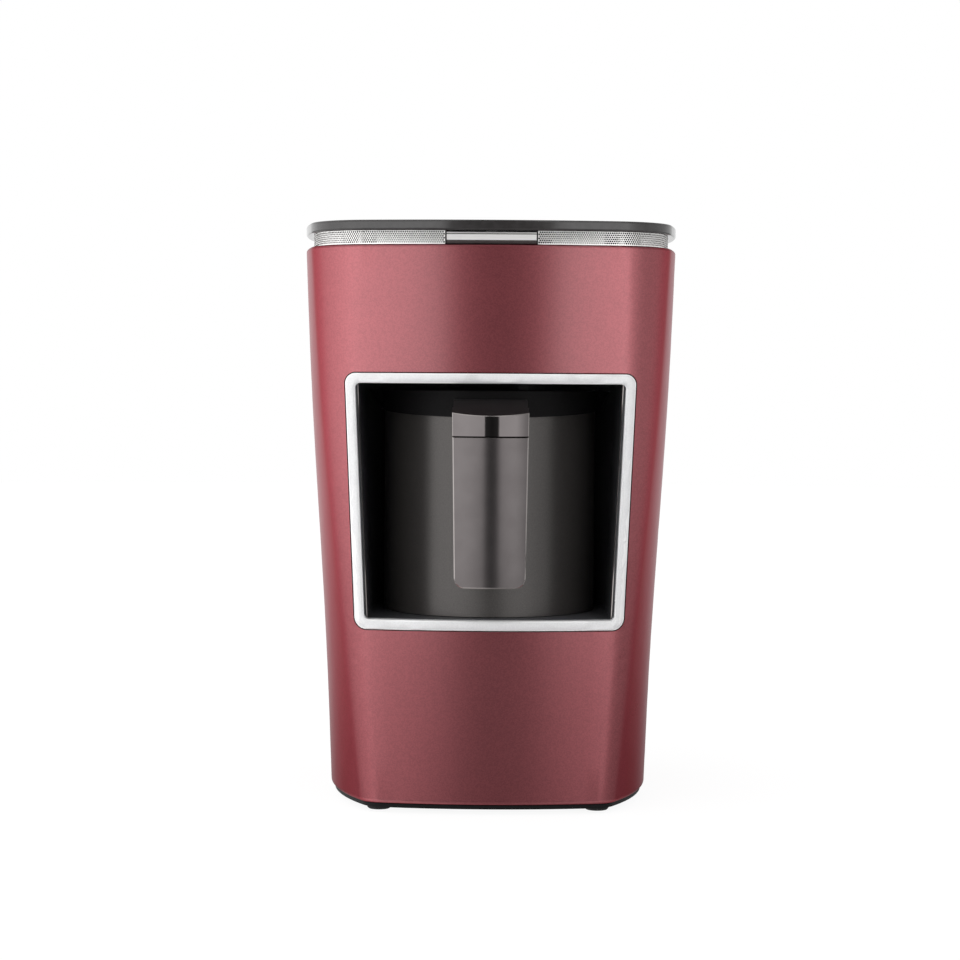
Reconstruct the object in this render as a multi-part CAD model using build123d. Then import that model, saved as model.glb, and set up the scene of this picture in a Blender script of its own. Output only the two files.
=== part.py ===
from build123d import *
import math
import os

# Electric coffee maker for one pot. Millimetres, +Z up, front towards -Y, feet on z = 0.
# The pot stands in a chamber behind a framed window and slides out forwards; a bar in the
# vent band under the top plate starts the brew. Widths grow outwards from the pot, heights
# grow upwards from the feet.

# ---- clearances ----
fixed_gap = 0.1
slide_gap = 0.3
screw_gap = 0.05
contact_gap = 0.05

# ---- pot ----
pot_radius = 45.0
pot_wall = 1.0
pot_setback = 11.0
pot_headroom = 3.3
pot_base_height = 20.4
pot_floor_thickness = 1.2
pot_rim_drop = 4.2
collar_proud = 1.3
collar_land = 2.2
collar_height = 10.9
collar_skirt_tilt = 4.0
collar_lip_drop = 6.0
spout_reach = 5.0
spout_radius_top = 8.0
spout_radius_low = 3.2
spout_wall = 1.4
spout_drop = 9.0

# ---- housing form: a tapered sleeve whose plan is drawn with tangent arcs ----
front_y_rim = -70.0
front_rake = 2.0
back_rake = 4.0
rear_space = 63.0
widest_behind_pot = 12.0
cheek_rim = 19.7
cheek_base = 12.85
side_easing = 0.3
loft_step = 48.0
front_radius_rim = 300.0
front_radius_base = 240.0
side_radius_rim = 200.0
side_radius_base = 112.0
rear_side_radius = 220.0
back_radius = 260.0
front_corner_rim = 28.0
front_corner_base = 12.0
rear_corner_radius = 34.0
shell_wall = 2.6
rim_rounding = 1.3
base_rounding = 2.0
brow_height = 52.4

# ---- top: carrier tray, vent band, top plate ----
plate_thickness = 4.3
plate_rounding = 0.9
band_height = 5.5
band_setback = 3.4
band_thickness = 0.6
carrier_drop = 6.6
carrier_thickness = 2.5
carrier_rib_height = 3.0
carrier_rib_thickness = 1.5
carrier_gap = 0.3
plate_boss_radius = 3.5
plate_boss_front_margin = 34.0
plate_boss_rear_margin = 42.0
plate_boss_inset = 17.0

# ---- start button ----
button_half_width = 18.2
button_sill_gap = 0.3
button_lintel_gap = 0.7
button_front_inset = 0.4
button_depth = 8.0
button_travel = 1.2
button_top_bevel = 0.6
button_low_bevel = 1.3
button_gap = 0.25
button_cutout_gap = 0.6
button_stem_half_width = 2.0
button_stem_height = 2.4
guide_wall = 1.4
guide_depth = 7.0
guide_setback = 1.0

# ---- window bezel ----
bezel_bottom_z = 76.0
bezel_height = 104.8
bezel_margin_top = 14.6
bezel_margin_bottom = 10.1
bezel_width = 4.05
bezel_corner_top = 4.2
bezel_corner_bottom = 5.0
bezel_proud = 0.9
bezel_depth = 4.0
bezel_gap = 0.45
bezel_bevel = 0.5

# ---- chamber ----
chamber_floor_rise = 0.25
chamber_ceiling_rise = 0.25
liner_wall = 2.0
liner_step = 1.1
recess_side_room = 5.0
recess_head_room = 7.0
recess_gap = 4.5
vent_slot_length = 20.0
vent_slot_width = 4.0
vent_slot_count = 3
vent_slot_pitch = 6.5
duct_behind_pot = 36.0
duct_wall = 1.5
duct_margin = 1.5

# ---- pot base: heater, cover, plug ----
heater_plate_margin = 1.4
heater_plate_thickness = 2.2
element_ring_inset = 14.6
element_tube_radius = 3.2
thermostat_radius = 8.0
thermostat_height = 7.0
cover_margin = 0.3
cover_thickness = 2.4
cover_lift = 0.5
cover_post_radius = 3.4
cover_post_inset = 7.2
cover_post_count = 3
cover_screw_sink = 1.4
seal_height = 1.6
seal_width = 1.3
plug_half_width = 14.0
plug_lift = 4.9
plug_height = 12.8
plug_reach = 7.5
plug_root = 5.0
pin_radius = 1.9
pin_reach = 9.0
pin_tip_chamfer = 0.6
pin_pitch = 8.0
pin_root_cover = 1.0

# ---- handle ----
handle_protrusion = 24.0
handle_thickness = 10.0
handle_face_thickness = 5.0
handle_face_radius = 34.0
handle_half_top = 15.4
handle_half_bottom = 14.25
handle_lift = 14.8
handle_drop = 3.4
handle_corner_radius = 4.0
handle_cap_height = 14.8
handle_cap_rise = 6.3
handle_cap_slope_length = 19.7
handle_split_gap = 0.4
handle_cap_thickness = 3.0
handle_arm_drop = 6.3
handle_arm_narrowing = 0.5
handle_edge_bevel = 0.5
handle_core_rise = 1.0
tongue_half_width = 9.0
tongue_thickness = 3.0
tongue_length = 12.0
tongue_lift = 0.3

# ---- base, feet, chassis ----
underside_z = 2.3
base_reveal = 1.6
base_lip = 2.9
base_inset = 1.5
base_lip_gap = 0.3
foot_radius = 5.0
foot_chamfer = 0.6
foot_stem_radius = 2.9
foot_stem_height = 3.2
foot_side_margin = 22.7
foot_front_margin = 17.0
foot_rear_margin = 20.0
chassis_thickness = 2.6
chassis_side_margin = 2.0
leg_behind_foot = 8.0
chassis_rear_margin = 13.0
chassis_opening_margin = 13.0
leg_radius = 4.5
leg_margin = 6.0

# ---- fasteners ----
screw_radius = 1.5
screw_head_radius = 2.9
screw_head_height = 2.0
screw_head_sink = 0.4
screw_slot_width = 0.8
screw_slot_depth = 0.8
screw_length = 12.0
boss_radius = 4.0
boss_height = 16.0
boss_front_margin = 35.0
boss_rear_margin = 34.0
boss_inset = 9.5
boss_web = 3.0

# ---- control electronics under the top plate ----
board_thickness = 1.6
control_half_width = 34.0
control_front_margin = 20.0
control_length = 45.0
standoff_radius = 2.8
standoff_height = 2.0
standoff_margin = 4.5
buzzer_radius = 6.0
buzzer_height = 5.2
buzzer_port_radius = 1.0
buzzer_x = 20.0
buzzer_from_edge = 30.0
chip_half = 6.0
chip_height = 1.5
chip_x = -14.0
chip_from_edge = 26.0
switch_half_width = 3.2
switch_depth = 3.6
switch_height = 4.6
switch_from_edge = 0.5
switch_plunger_radius = 1.1
switch_plunger_reach = 0.9

# ---- level sensor over the pot ----
sensor_radius = 10.0
sensor_height = 22.0
sensor_flange_radius = 14.0
sensor_flange_thickness = 2.0
lens_radius = 5.0
lens_thickness = 1.6
lens_recess = 0.4
cable_radius = 1.6

# ---- power electronics in the base; places are from the board's middle ----
power_half_width = 44.0
power_length = 60.0
power_behind_pot = 13.0
power_standoff_height = 6.0
transformer_size = (26.0, 22.0, 20.0)
transformer_at = (-20.0, -11.0)
relay_size = (16.0, 19.0, 15.5)
relay_at = (8.0, -13.0)
capacitor_size = (9.0, 18.0, 14.0)
capacitor_at = (28.0, -11.0)
terminal_size = (28.0, 12.0, 12.0)
terminal_at = (0.0, 21.0)

# ---- appliance socket behind the chamber ----
socket_side_margin = 2.0
socket_margin_z = 1.5
socket_depth = 21.0
socket_nose_margin = 1.6
socket_front_wall = 1.0
pin_entry_gap = 0.4
contact_radius = 3.0
contact_wall = 0.6
contact_length = 14.0
contact_back_wall = 2.0
contact_tail_radius = 1.2
contact_tail_reach = 3.5
lead_radius = 1.2
lead_rise = 20.0
lead_drop = 30.0
lead_bend_radius = 12.0

# ---- wiring between the two boards ----
harness_radius = 2.0
harness_bend_radius = 7.0
harness_margin_x = 2.9
harness_behind_pot = 22.0
harness_board_inset = 6.0
harness_board_rise = 26.0
harness_side_rise = 52.0
harness_side_drop = 34.0
harness_carrier_drop = 20.0
harness_carrier_x = 18.0
harness_ahead_of_pot = 10.0

# ---- cord inlet at the back ----
cord_radius = 3.5
gland_barrel_radius = 6.0
gland_flange_radius = 8.5
gland_flange_thickness = 2.4
gland_flange_gap = 0.2
gland_nut_radius = 9.0
gland_nut_thickness = 4.0
gland_inner_reach = 10.0
gland_z = 24.0

# ---- heights that follow, from the feet up ----
base_edge_z = underside_z + base_reveal
base_top_z = base_edge_z + base_lip
power_z = base_top_z + power_standoff_height
chamber_floor_z = bezel_bottom_z + bezel_width + chamber_floor_rise
chassis_top_z = chamber_floor_z - liner_wall
chassis_z = chassis_top_z - chassis_thickness
bezel_top_z = bezel_bottom_z + bezel_height
chamber_ceiling_z = bezel_top_z - bezel_width + chamber_ceiling_rise
rim_z = bezel_top_z + brow_height
carrier_floor_z = rim_z - carrier_drop
carrier_top_z = carrier_floor_z + carrier_thickness
control_z = carrier_top_z + standoff_height
plate_bottom_z = rim_z + band_height
button_bottom_z = rim_z + button_sill_gap
button_top_z = plate_bottom_z - button_lintel_gap
pot_bottom_z = chamber_floor_z + slide_gap
pot_floor_z = pot_bottom_z + pot_base_height
heater_z = pot_floor_z - pot_floor_thickness - heater_plate_thickness
cover_top_z = pot_bottom_z + cover_lift + cover_thickness
plug_bottom_z = pot_bottom_z + plug_lift
plug_top_z = plug_bottom_z + plug_height
pin_z = (plug_bottom_z + plug_top_z) / 2
collar_top_z = chamber_ceiling_z - pot_headroom
collar_skirt_z = collar_top_z - collar_height
pot_rim_z = collar_top_z - pot_rim_drop
tongue_z = collar_skirt_z + tongue_lift
handle_top_z = collar_top_z - handle_drop
handle_cap_edge_z = handle_top_z - handle_cap_rise
handle_split_z = handle_top_z - handle_cap_height
handle_bottom_z = pot_bottom_z + handle_lift
handle_arm_bottom_z = collar_skirt_z - handle_arm_drop

# ---- widths that follow, from the pot outwards ----
collar_radius = pot_radius + collar_proud
collar_bore_radius = pot_radius - collar_land
heater_plate_radius = pot_radius - pot_wall - heater_plate_margin
element_ring_radius = heater_plate_radius - element_ring_inset
cover_radius = pot_radius - pot_wall - cover_margin
cover_post_ring = cover_radius - cover_post_inset
recess_half_width = plug_half_width + recess_side_room
socket_half_width = plug_half_width + socket_side_margin
bezel_half_top = pot_radius + bezel_margin_top
bezel_half_bottom = pot_radius + bezel_margin_bottom
half_width_rim = bezel_half_top + cheek_rim
half_width_base = bezel_half_bottom + cheek_base
foot_x = half_width_base - foot_side_margin
chassis_half_width = power_half_width + chassis_side_margin
harness_x = bezel_half_top + harness_margin_x
harness_board_x = power_half_width - harness_board_inset

# ---- depths that follow, from the front face back ----
pot_axis_y = front_y_rim + pot_setback + pot_radius
pot_back_y = pot_axis_y + pot_radius
front_y_base = front_y_rim + front_rake
back_y_rim = pot_back_y + rear_space
back_y_base = back_y_rim - back_rake
widest_y = pot_axis_y + widest_behind_pot
recess_y = pot_back_y + plug_reach + recess_gap
socket_y = recess_y + liner_wall
contact_y = socket_y + socket_front_wall
socket_back_y = socket_y + socket_depth
duct_y = pot_axis_y + duct_behind_pot
handle_front_y = front_y_rim - handle_protrusion
handle_back_y = handle_front_y + handle_thickness
handle_seam_y = handle_front_y + handle_face_thickness
button_front_y = front_y_rim + button_front_inset
band_front_y = front_y_rim + band_setback
guide_front_y = band_front_y + band_thickness + guide_setback
guide_rear_y = guide_front_y + guide_depth
control_front_y = front_y_rim + control_front_margin
control_rear_y = control_front_y + control_length
switch_front_y = control_front_y + switch_from_edge
stem_end_y = switch_front_y - switch_plunger_reach - button_travel - fixed_gap
plate_boss_front_y = front_y_rim + plate_boss_front_margin
plate_boss_rear_y = back_y_rim - plate_boss_rear_margin
boss_front_y = front_y_rim + boss_front_margin
boss_rear_y = back_y_rim - boss_rear_margin
foot_front_y = front_y_base + foot_front_margin
foot_rear_y = back_y_base - foot_rear_margin
power_y = pot_axis_y + power_behind_pot
power_front_y = power_y - power_length / 2
power_rear_y = power_y + power_length / 2
chassis_front_y = foot_front_y + leg_behind_foot - leg_margin
chassis_rear_y = power_rear_y + chassis_rear_margin
harness_y = pot_axis_y + harness_behind_pot
harness_carrier_y = pot_axis_y - harness_ahead_of_pot

# ---- how far a cutting form runs past what it cuts ----
overcut = 10.0
far = 400.0


# ---- plain solids by their limits ----
def block(x_low, x_high, y_low, y_high, z_low, z_high):
    size = (x_high - x_low, y_high - y_low, z_high - z_low)
    return Pos(x_low, y_low, z_low) * Box(*size, align=Align.MIN)


def column(x, y, radius, z_low, z_high):
    align = (Align.CENTER, Align.CENTER, Align.MIN)
    return Pos(x, y, z_low) * Cylinder(radius, z_high - z_low, align=align)


def rod_y(x, z, radius, y_low, y_high):
    align = (Align.CENTER, Align.CENTER, Align.MIN)
    return Pos(x, y_low, z) * Rot(X=-90) * Cylinder(radius, y_high - y_low, align=align)


def tube(x, y, outer_radius, inner_radius, z_low, z_high):
    return column(x, y, outer_radius, z_low, z_high) - column(x, y, inner_radius, z_low - 1, z_high + 1)


def lead(points, radii, radius):
    path = FilletPolyline(*points, radius=radii)
    section = Plane(path @ 0, z_dir=path % 0) * Circle(radius)
    return sweep(section, path=path)


# ---- the housing's plan outline, inset from its outer surface ----
def taper(at_base, at_rim, level):
    return at_base + (at_rim - at_base) * (level - base_edge_z) / (rim_z - base_edge_z)


def touching_circle(first, first_radius, second, second_radius, radius, rearward):
    first_reach = first_radius - radius
    second_reach = second_radius - radius
    span = second - first
    along = (first_reach ** 2 - second_reach ** 2 + span.length ** 2) / (2 * span.length)
    across = math.sqrt(first_reach ** 2 - along ** 2)
    unit = span.normalized()
    foot = first + unit * along
    normal = Vector(-unit.Y, unit.X, 0) * across
    centres = sorted((foot + normal, foot - normal), key=lambda centre: centre.Y)
    return centres[1] if rearward else centres[0]


def on_circle(centre, radius, *directions):
    aim = Vector(0, 0, 0)
    for point in directions:
        aim += (point - centre).normalized()
    return centre + aim.normalized() * radius


def half_width_at(level):
    # the sides leave the base and meet the rim along a shallow S
    share = (level - base_edge_z) / (rim_z - base_edge_z)
    eased = share - side_easing * math.sin(2 * math.pi * share) / (2 * math.pi)
    return half_width_base + (half_width_rim - half_width_base) * eased


def outline(level, inset=0.0):
    half_width = half_width_at(level)
    front_y = taper(front_y_base, front_y_rim, level)
    back_y = taper(back_y_base, back_y_rim, level)
    front_radius = taper(front_radius_base, front_radius_rim, level)
    side_radius = taper(side_radius_base, side_radius_rim, level)
    corner_radius = taper(front_corner_base, front_corner_rim, level)
    front_centre = Vector(0, front_y + front_radius, level)
    side_centre = Vector(half_width - side_radius, widest_y, level)
    rear_centre = Vector(half_width - rear_side_radius, widest_y, level)
    back_centre = Vector(0, back_y - back_radius, level)
    nose = touching_circle(
        front_centre, front_radius, side_centre, side_radius, corner_radius, False)
    heel = touching_circle(
        rear_centre, rear_side_radius, back_centre, back_radius, rear_corner_radius, True)
    front_end = on_circle(front_centre, front_radius - inset, nose)
    side_start = on_circle(side_centre, side_radius - inset, nose)
    widest = Vector(half_width - inset, widest_y, level)
    side_end = on_circle(rear_centre, rear_side_radius - inset, heel)
    back_start = on_circle(back_centre, back_radius - inset, heel)
    right = [
        (front_end, on_circle(nose, corner_radius - inset, front_end, side_start), side_start),
        (side_start, on_circle(side_centre, side_radius - inset, side_start, widest), widest),
        (widest, on_circle(rear_centre, rear_side_radius - inset, widest, side_end), side_end),
        (side_end, on_circle(heel, rear_corner_radius - inset, side_end, back_start), back_start),
    ]
    left = [tuple(Vector(-p.X, p.Y, p.Z) for p in reversed(arc)) for arc in reversed(right)]
    front = (left[-1][2], Vector(0, front_y + inset, level), front_end)
    back = (back_start, Vector(0, back_y - inset, level), left[0][0])
    return Wire([ThreePointArc(*arc) for arc in [front, *right, back, *left]])


def housing_form(z_low, z_high, inset=0.0):
    spans = math.ceil((z_high - z_low) / loft_step)
    levels = [z_low + (z_high - z_low) * i / spans for i in range(spans + 1)]
    return Solid.make_loft([outline(level, inset) for level in levels], ruled=spans == 1)


def side_x(level, y, inset=0.0):
    half_width = half_width_at(level)
    radius = taper(side_radius_base, side_radius_rim, level) if y < widest_y else rear_side_radius
    return half_width - radius + math.sqrt(radius ** 2 - (y - widest_y) ** 2) - inset


# ---- the window's outline, seen from the front ----
def bezel_half(level, inset=0.0):
    share = (level - bezel_bottom_z) / (bezel_top_z - bezel_bottom_z)
    return bezel_half_bottom + (bezel_half_top - bezel_half_bottom) * share - inset


def window_prism(inset, y_low, y_high):
    low, high = bezel_bottom_z + inset, bezel_top_z - inset
    corners = [
        (-bezel_half(low, inset), low),
        (bezel_half(low, inset), low),
        (bezel_half(high, inset), high),
        (-bezel_half(high, inset), high),
    ]
    smallest = bezel_width / 2
    face = make_face(Polyline(*corners, close=True))
    face = fillet(face.vertices().sort_by(Axis.Y)[:2], max(bezel_corner_bottom - inset, smallest))
    face = fillet(face.vertices().sort_by(Axis.Y)[-2:], max(bezel_corner_top - inset, smallest))
    return extrude(Plane.XZ.offset(-y_high) * face, amount=y_high - y_low)


def meeting_edges(shape, first, second):
    # the shape's edges that lie on the surfaces of both forms
    def on_both(edge):
        middle = Vertex(edge @ 0.5)
        return all(form.shell().distance_to(middle) < 0.01 for form in (first, second))
    return [edge for edge in shape.edges() if on_both(edge)]


# ---- fasteners ----
def screw_up(x, y, z):
    # head down, shank up, with its underside at z
    slot = block(-screw_head_radius, screw_head_radius, -screw_slot_width / 2, screw_slot_width / 2,
                 0, screw_slot_depth)
    head = column(x, y, screw_head_radius, z, z + screw_head_height)
    head -= Pos(x, y, z) * (slot + Rot(Z=90) * slot)
    return head + column(x, y, screw_radius, z + screw_head_height, z + screw_length)


def screw_down(x, y, z, length):
    # head up, seated at z
    head = column(x, y, screw_head_radius, z, z + screw_head_height)
    return head + column(x, y, screw_radius, z - length, z)


def screw_hole(x, y, z_low, z_high):
    return column(x, y, screw_radius + screw_gap, z_low, z_high)


def head_pocket(x, y, z_low, z_high):
    return column(x, y, screw_head_radius + slide_gap, z_low, z_high)


def boss_places(level):
    places = []
    for y in (boss_front_y, boss_rear_y):
        x = side_x(level, y, boss_inset)
        places += [(-x, y), (x, y)]
    return places


def leg_places():
    return corner_places(chassis_half_width, chassis_front_y, chassis_rear_y, leg_margin)


def plate_boss_places():
    places = []
    for y in (plate_boss_front_y, plate_boss_rear_y):
        x = side_x(carrier_top_z, y, plate_boss_inset)
        places += [(-x, y), (x, y)]
    return places


def corner_places(half_width, front_y, rear_y, margin):
    x = half_width - margin
    return [(side * x, y) for y in (front_y + margin, rear_y - margin) for side in (-1, 1)]


def power_screw_places():
    return corner_places(power_half_width, power_front_y, power_rear_y, standoff_margin)


def control_screw_places():
    return corner_places(control_half_width, control_front_y, control_rear_y, standoff_margin)


# ---- housing ----
def make_outer_shell():
    shell = Part() + housing_form(base_edge_z, rim_z)
    rim_edges = shell.edges().filter_by_position(Axis.Z, rim_z - 0.01, rim_z + 0.01)
    shell = fillet(rim_edges, rim_rounding)
    base_edges = shell.edges().filter_by_position(Axis.Z, base_edge_z - 0.01, base_edge_z + 0.01)
    shell = fillet(base_edges, base_rounding)
    shell -= housing_form(base_edge_z - 1, rim_z + 1, shell_wall)
    skin = housing_form(base_edge_z, rim_z, shell_wall / 2)
    for low in (base_top_z, carrier_floor_z - boss_height):
        high = low + boss_height
        for x, y in boss_places((low + high) / 2):
            boss = column(x, y, boss_radius, low, high)
            ends = sorted((x, math.copysign(half_width_rim, x)))
            boss += block(*ends, y - boss_web / 2, y + boss_web / 2, low, high)
            shell = shell + (boss & skin) - screw_hole(x, y, low - 1, high + 1)
    shell -= window_prism(-bezel_gap, front_y_rim - overcut, pot_axis_y)
    shell -= rod_y(0, gland_z, gland_barrel_radius + fixed_gap, pot_axis_y, back_y_rim + overcut)
    return shell


def make_window_bezel():
    slab = housing_form(bezel_bottom_z - overcut, bezel_top_z + overcut, -bezel_proud)
    slab -= housing_form(bezel_bottom_z - overcut - 1, bezel_top_z + overcut + 1, bezel_depth)
    outside = window_prism(0, front_y_rim - overcut, pot_axis_y)
    inside = window_prism(bezel_width, front_y_rim - overcut - 1, pot_axis_y + 1)
    frame = Part() + ((outside - inside) & slab)
    skin = housing_form(bezel_bottom_z - overcut, bezel_top_z + overcut, -bezel_proud)
    edges = meeting_edges(frame, skin, outside) + meeting_edges(frame, skin, inside)
    return chamfer(edges, bezel_bevel)


# ---- chamber liner: U-shaped in plan, round at the back ----
def chamber_half(level):
    return bezel_half(level, bezel_width + liner_step)


def chamber_outline(level, grow):
    half = chamber_half(level) + grow
    left, right = Vector(-half, pot_axis_y, level), Vector(half, pot_axis_y, level)
    mouth_y = front_y_rim - overcut
    return Wire([
        Line((-half, mouth_y, level), left),
        ThreePointArc(left, Vector(0, pot_axis_y + half, level), right),
        Line(right, (half, mouth_y, level)),
        Line((half, mouth_y, level), (-half, mouth_y, level)),
    ])


def chamber_form(z_low, z_high, grow):
    return Solid.make_loft([chamber_outline(z_low, grow), chamber_outline(z_high, grow)], ruled=True)


def recess_form(grow):
    half = recess_half_width + grow
    return block(-half, half, pot_axis_y, recess_y + grow,
                 chamber_floor_z - grow, plug_top_z + recess_head_room + grow)


def vent_slot_places():
    first = duct_y - vent_slot_pitch * (vent_slot_count - 1) / 2
    return [first + vent_slot_pitch * i for i in range(vent_slot_count)]


def make_chamber_liner():
    liner = chamber_form(chamber_floor_z - liner_wall, chamber_ceiling_z + liner_wall, liner_wall)
    liner = Part() + liner + recess_form(liner_wall)
    liner -= chamber_form(chamber_floor_z, chamber_ceiling_z, 0)
    liner -= recess_form(0)
    liner &= housing_form(base_edge_z, rim_z, bezel_depth + contact_gap)
    ceiling = (chamber_ceiling_z - 1, chamber_ceiling_z + liner_wall + 1)
    liner -= column(0, pot_axis_y, sensor_radius + fixed_gap, *ceiling)
    for y in vent_slot_places():
        liner -= block(-vent_slot_length / 2, vent_slot_length / 2,
                       y - vent_slot_width / 2, y + vent_slot_width / 2, *ceiling)
    liner -= socket_nose(fixed_gap)
    return liner


def make_steam_duct():
    half_x = vent_slot_length / 2 + duct_margin
    half_y = (vent_slot_pitch * (vent_slot_count - 1) + vent_slot_width) / 2 + duct_margin
    low, high = chamber_ceiling_z + liner_wall, carrier_floor_z
    outer = block(-half_x - duct_wall, half_x + duct_wall,
                  duct_y - half_y - duct_wall, duct_y + half_y + duct_wall, low, high)
    return outer - block(-half_x, half_x, duct_y - half_y, duct_y + half_y, low - 1, high + 1)


# ---- base ----
def make_base_plate():
    plate = Part() + housing_form(underside_z, base_edge_z, base_inset)
    plate += housing_form(base_edge_z - 1, base_top_z, shell_wall + base_lip_gap)
    for x, y in power_screw_places():
        plate += column(x, y, standoff_radius, base_top_z, power_z)
        plate -= screw_hole(x, y, base_edge_z, power_z + 1)
    for x, y in boss_places(base_top_z + boss_height / 2) + leg_places():
        plate -= head_pocket(x, y, underside_z - 1, underside_z + screw_head_height + screw_head_sink)
        plate -= screw_hole(x, y, underside_z, base_top_z + 1)
    for x, y in foot_places().values():
        plate -= column(x, y, foot_stem_radius + fixed_gap, underside_z - 1,
                        underside_z + foot_stem_height + slide_gap)
    return plate


def foot_places():
    return {
        "foot_front_left": (-foot_x, foot_front_y),
        "foot_front_right": (foot_x, foot_front_y),
        "foot_rear_left": (-foot_x, foot_rear_y),
        "foot_rear_right": (foot_x, foot_rear_y),
    }


def make_foot(x, y):
    pad = column(x, y, foot_radius, 0, underside_z)
    pad = chamfer(pad.edges().filter_by_position(Axis.Z, -0.01, 0.01), foot_chamfer)
    return pad + column(x, y, foot_stem_radius, underside_z, underside_z + foot_stem_height)


def make_chassis():
    frame = block(-chassis_half_width, chassis_half_width, chassis_front_y, chassis_rear_y,
                  chassis_z, chassis_top_z)
    opening = chassis_opening_margin
    frame -= block(opening - chassis_half_width, chassis_half_width - opening,
                   chassis_front_y + opening, chassis_rear_y - opening, chassis_z - 1, chassis_top_z + 1)
    for x, y in leg_places():
        frame += column(x, y, leg_radius, base_top_z, chassis_z)
        frame -= screw_hole(x, y, base_top_z - 1, base_top_z + screw_length)
    return frame


def screws_up(places, z):
    return Compound(children=[screw_up(x, y, z) for x, y in places])


def screws_down(places, z, length):
    return Compound(children=[screw_down(x, y, z, length) for x, y in places])


# ---- top ----
def make_top_carrier():
    inset = shell_wall + carrier_gap
    tray = Part() + housing_form(carrier_floor_z, carrier_top_z, inset)
    rib_inset = band_setback + band_thickness + fixed_gap
    rib_low, rib_high = carrier_top_z - 1, carrier_top_z + carrier_rib_height
    rib = housing_form(rib_low, rib_high, rib_inset)
    rib -= housing_form(rib_low - 1, rib_high + 1, rib_inset + carrier_rib_thickness)
    tray += rib
    guide_half = button_half_width + button_gap + guide_wall
    tray -= block(-guide_half - fixed_gap, guide_half + fixed_gap, front_y_rim - overcut,
                  guide_rear_y + fixed_gap, carrier_top_z, far)
    half_x = vent_slot_length / 2 + duct_margin
    half_y = (vent_slot_pitch * (vent_slot_count - 1) + vent_slot_width) / 2 + duct_margin
    tray -= block(-half_x, half_x, duct_y - half_y, duct_y + half_y, carrier_floor_z - 1, carrier_top_z + 1)
    for x, y in control_screw_places():
        tray += column(x, y, standoff_radius, carrier_top_z, control_z)
        tray -= screw_hole(x, y, carrier_floor_z - 1, control_z + 1)
    tray -= column(0, pot_axis_y, cable_radius + slide_gap, carrier_floor_z - 1, carrier_top_z + 1)
    tray -= column(harness_carrier_x, harness_carrier_y, harness_radius + slide_gap,
                   carrier_floor_z - 1, carrier_top_z + 1)
    for x, y in plate_boss_places() + boss_places(carrier_floor_z - boss_height / 2):
        tray -= screw_hole(x, y, carrier_floor_z - 1, carrier_top_z + 1)
    return tray


def make_vent_band():
    low, high = carrier_top_z, plate_bottom_z
    band = Part() + housing_form(low, high, band_setback)
    band -= housing_form(low - 1, high + 1, band_setback + band_thickness)
    half = button_half_width + button_cutout_gap
    sill = button_bottom_z - button_cutout_gap
    band -= block(-half, half, front_y_rim - overcut, pot_axis_y, sill, high + 1)
    return band


def make_top_plate():
    slab = extrude(make_face(outline(rim_z)), amount=plate_thickness)
    plate = Part() + Pos(Z=plate_bottom_z - rim_z) * slab
    rings = plate.edges().filter_by(lambda edge: abs((edge @ 0).Z - (edge @ 1).Z) < 0.001)
    plate = fillet(rings, plate_rounding)
    for x, y in plate_boss_places():
        plate += column(x, y, plate_boss_radius, carrier_top_z, plate_bottom_z)
        plate -= screw_hole(x, y, carrier_top_z - 1, plate_bottom_z + 1)
    return plate


# ---- start button and its guide ----
def make_button_guide():
    front = guide_front_y
    half = button_half_width + button_gap
    guide = block(-half - guide_wall, half + guide_wall, front, guide_rear_y,
                  carrier_top_z, plate_bottom_z - fixed_gap)
    channel_floor = button_bottom_z - button_gap
    guide -= block(-half, half, front - 1, guide_rear_y - guide_wall, channel_floor, far)
    stem = button_stem_half_width + button_gap
    guide -= block(-stem, stem, front - 1, far, channel_floor, far)
    return guide


def make_start_button():
    low, high = button_bottom_z, button_top_z
    front, rear = button_front_y, button_front_y + button_depth
    profile = Polyline(
        (front + button_low_bevel, low),
        (front, low + button_low_bevel),
        (front, high - button_top_bevel),
        (front + button_top_bevel, high),
        (rear, high),
        (rear, low),
        close=True,
    )
    bar = extrude(Plane.YZ.offset(-button_half_width) * make_face(profile), amount=2 * button_half_width)
    middle = (low + high) / 2
    stem = block(-button_stem_half_width, button_stem_half_width, rear, stem_end_y,
                 middle - button_stem_height / 2, middle + button_stem_height / 2)
    return bar + stem


# ---- control board and what it carries ----
def make_control_board():
    board = block(-control_half_width, control_half_width, control_front_y, control_rear_y,
                  control_z, control_z + board_thickness)
    for x, y in control_screw_places():
        board -= screw_hole(x, y, control_z - 1, control_z + board_thickness + 1)
    return board


def make_start_switch():
    low = control_z + board_thickness
    front = switch_front_y
    body = block(-switch_half_width, switch_half_width, front, front + switch_depth, low, low + switch_height)
    stem_z = (button_bottom_z + button_top_z) / 2
    return body + rod_y(0, stem_z, switch_plunger_radius, front - switch_plunger_reach, front)


def make_buzzer():
    low = control_z + board_thickness
    y = control_front_y + buzzer_from_edge
    shell = column(buzzer_x, y, buzzer_radius, low, low + buzzer_height)
    return shell - column(buzzer_x, y, buzzer_port_radius, low + buzzer_height / 2, low + buzzer_height + 1)


def make_controller_chip():
    low = control_z + board_thickness
    y = control_front_y + chip_from_edge
    return block(chip_x - chip_half, chip_x + chip_half, y - chip_half, y + chip_half, low, low + chip_height)


# ---- level sensor ----
def make_sensor_housing():
    low = chamber_ceiling_z
    flange_z = chamber_ceiling_z + liner_wall
    body = column(0, pot_axis_y, sensor_radius, low, low + sensor_height)
    body += column(0, pot_axis_y, sensor_flange_radius, flange_z, flange_z + sensor_flange_thickness)
    body -= column(0, pot_axis_y, lens_radius + fixed_gap, low - 1, low + lens_recess + lens_thickness)
    return body


def make_sensor_lens():
    low = chamber_ceiling_z + lens_recess
    return column(0, pot_axis_y, lens_radius, low, low + lens_thickness)


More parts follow.
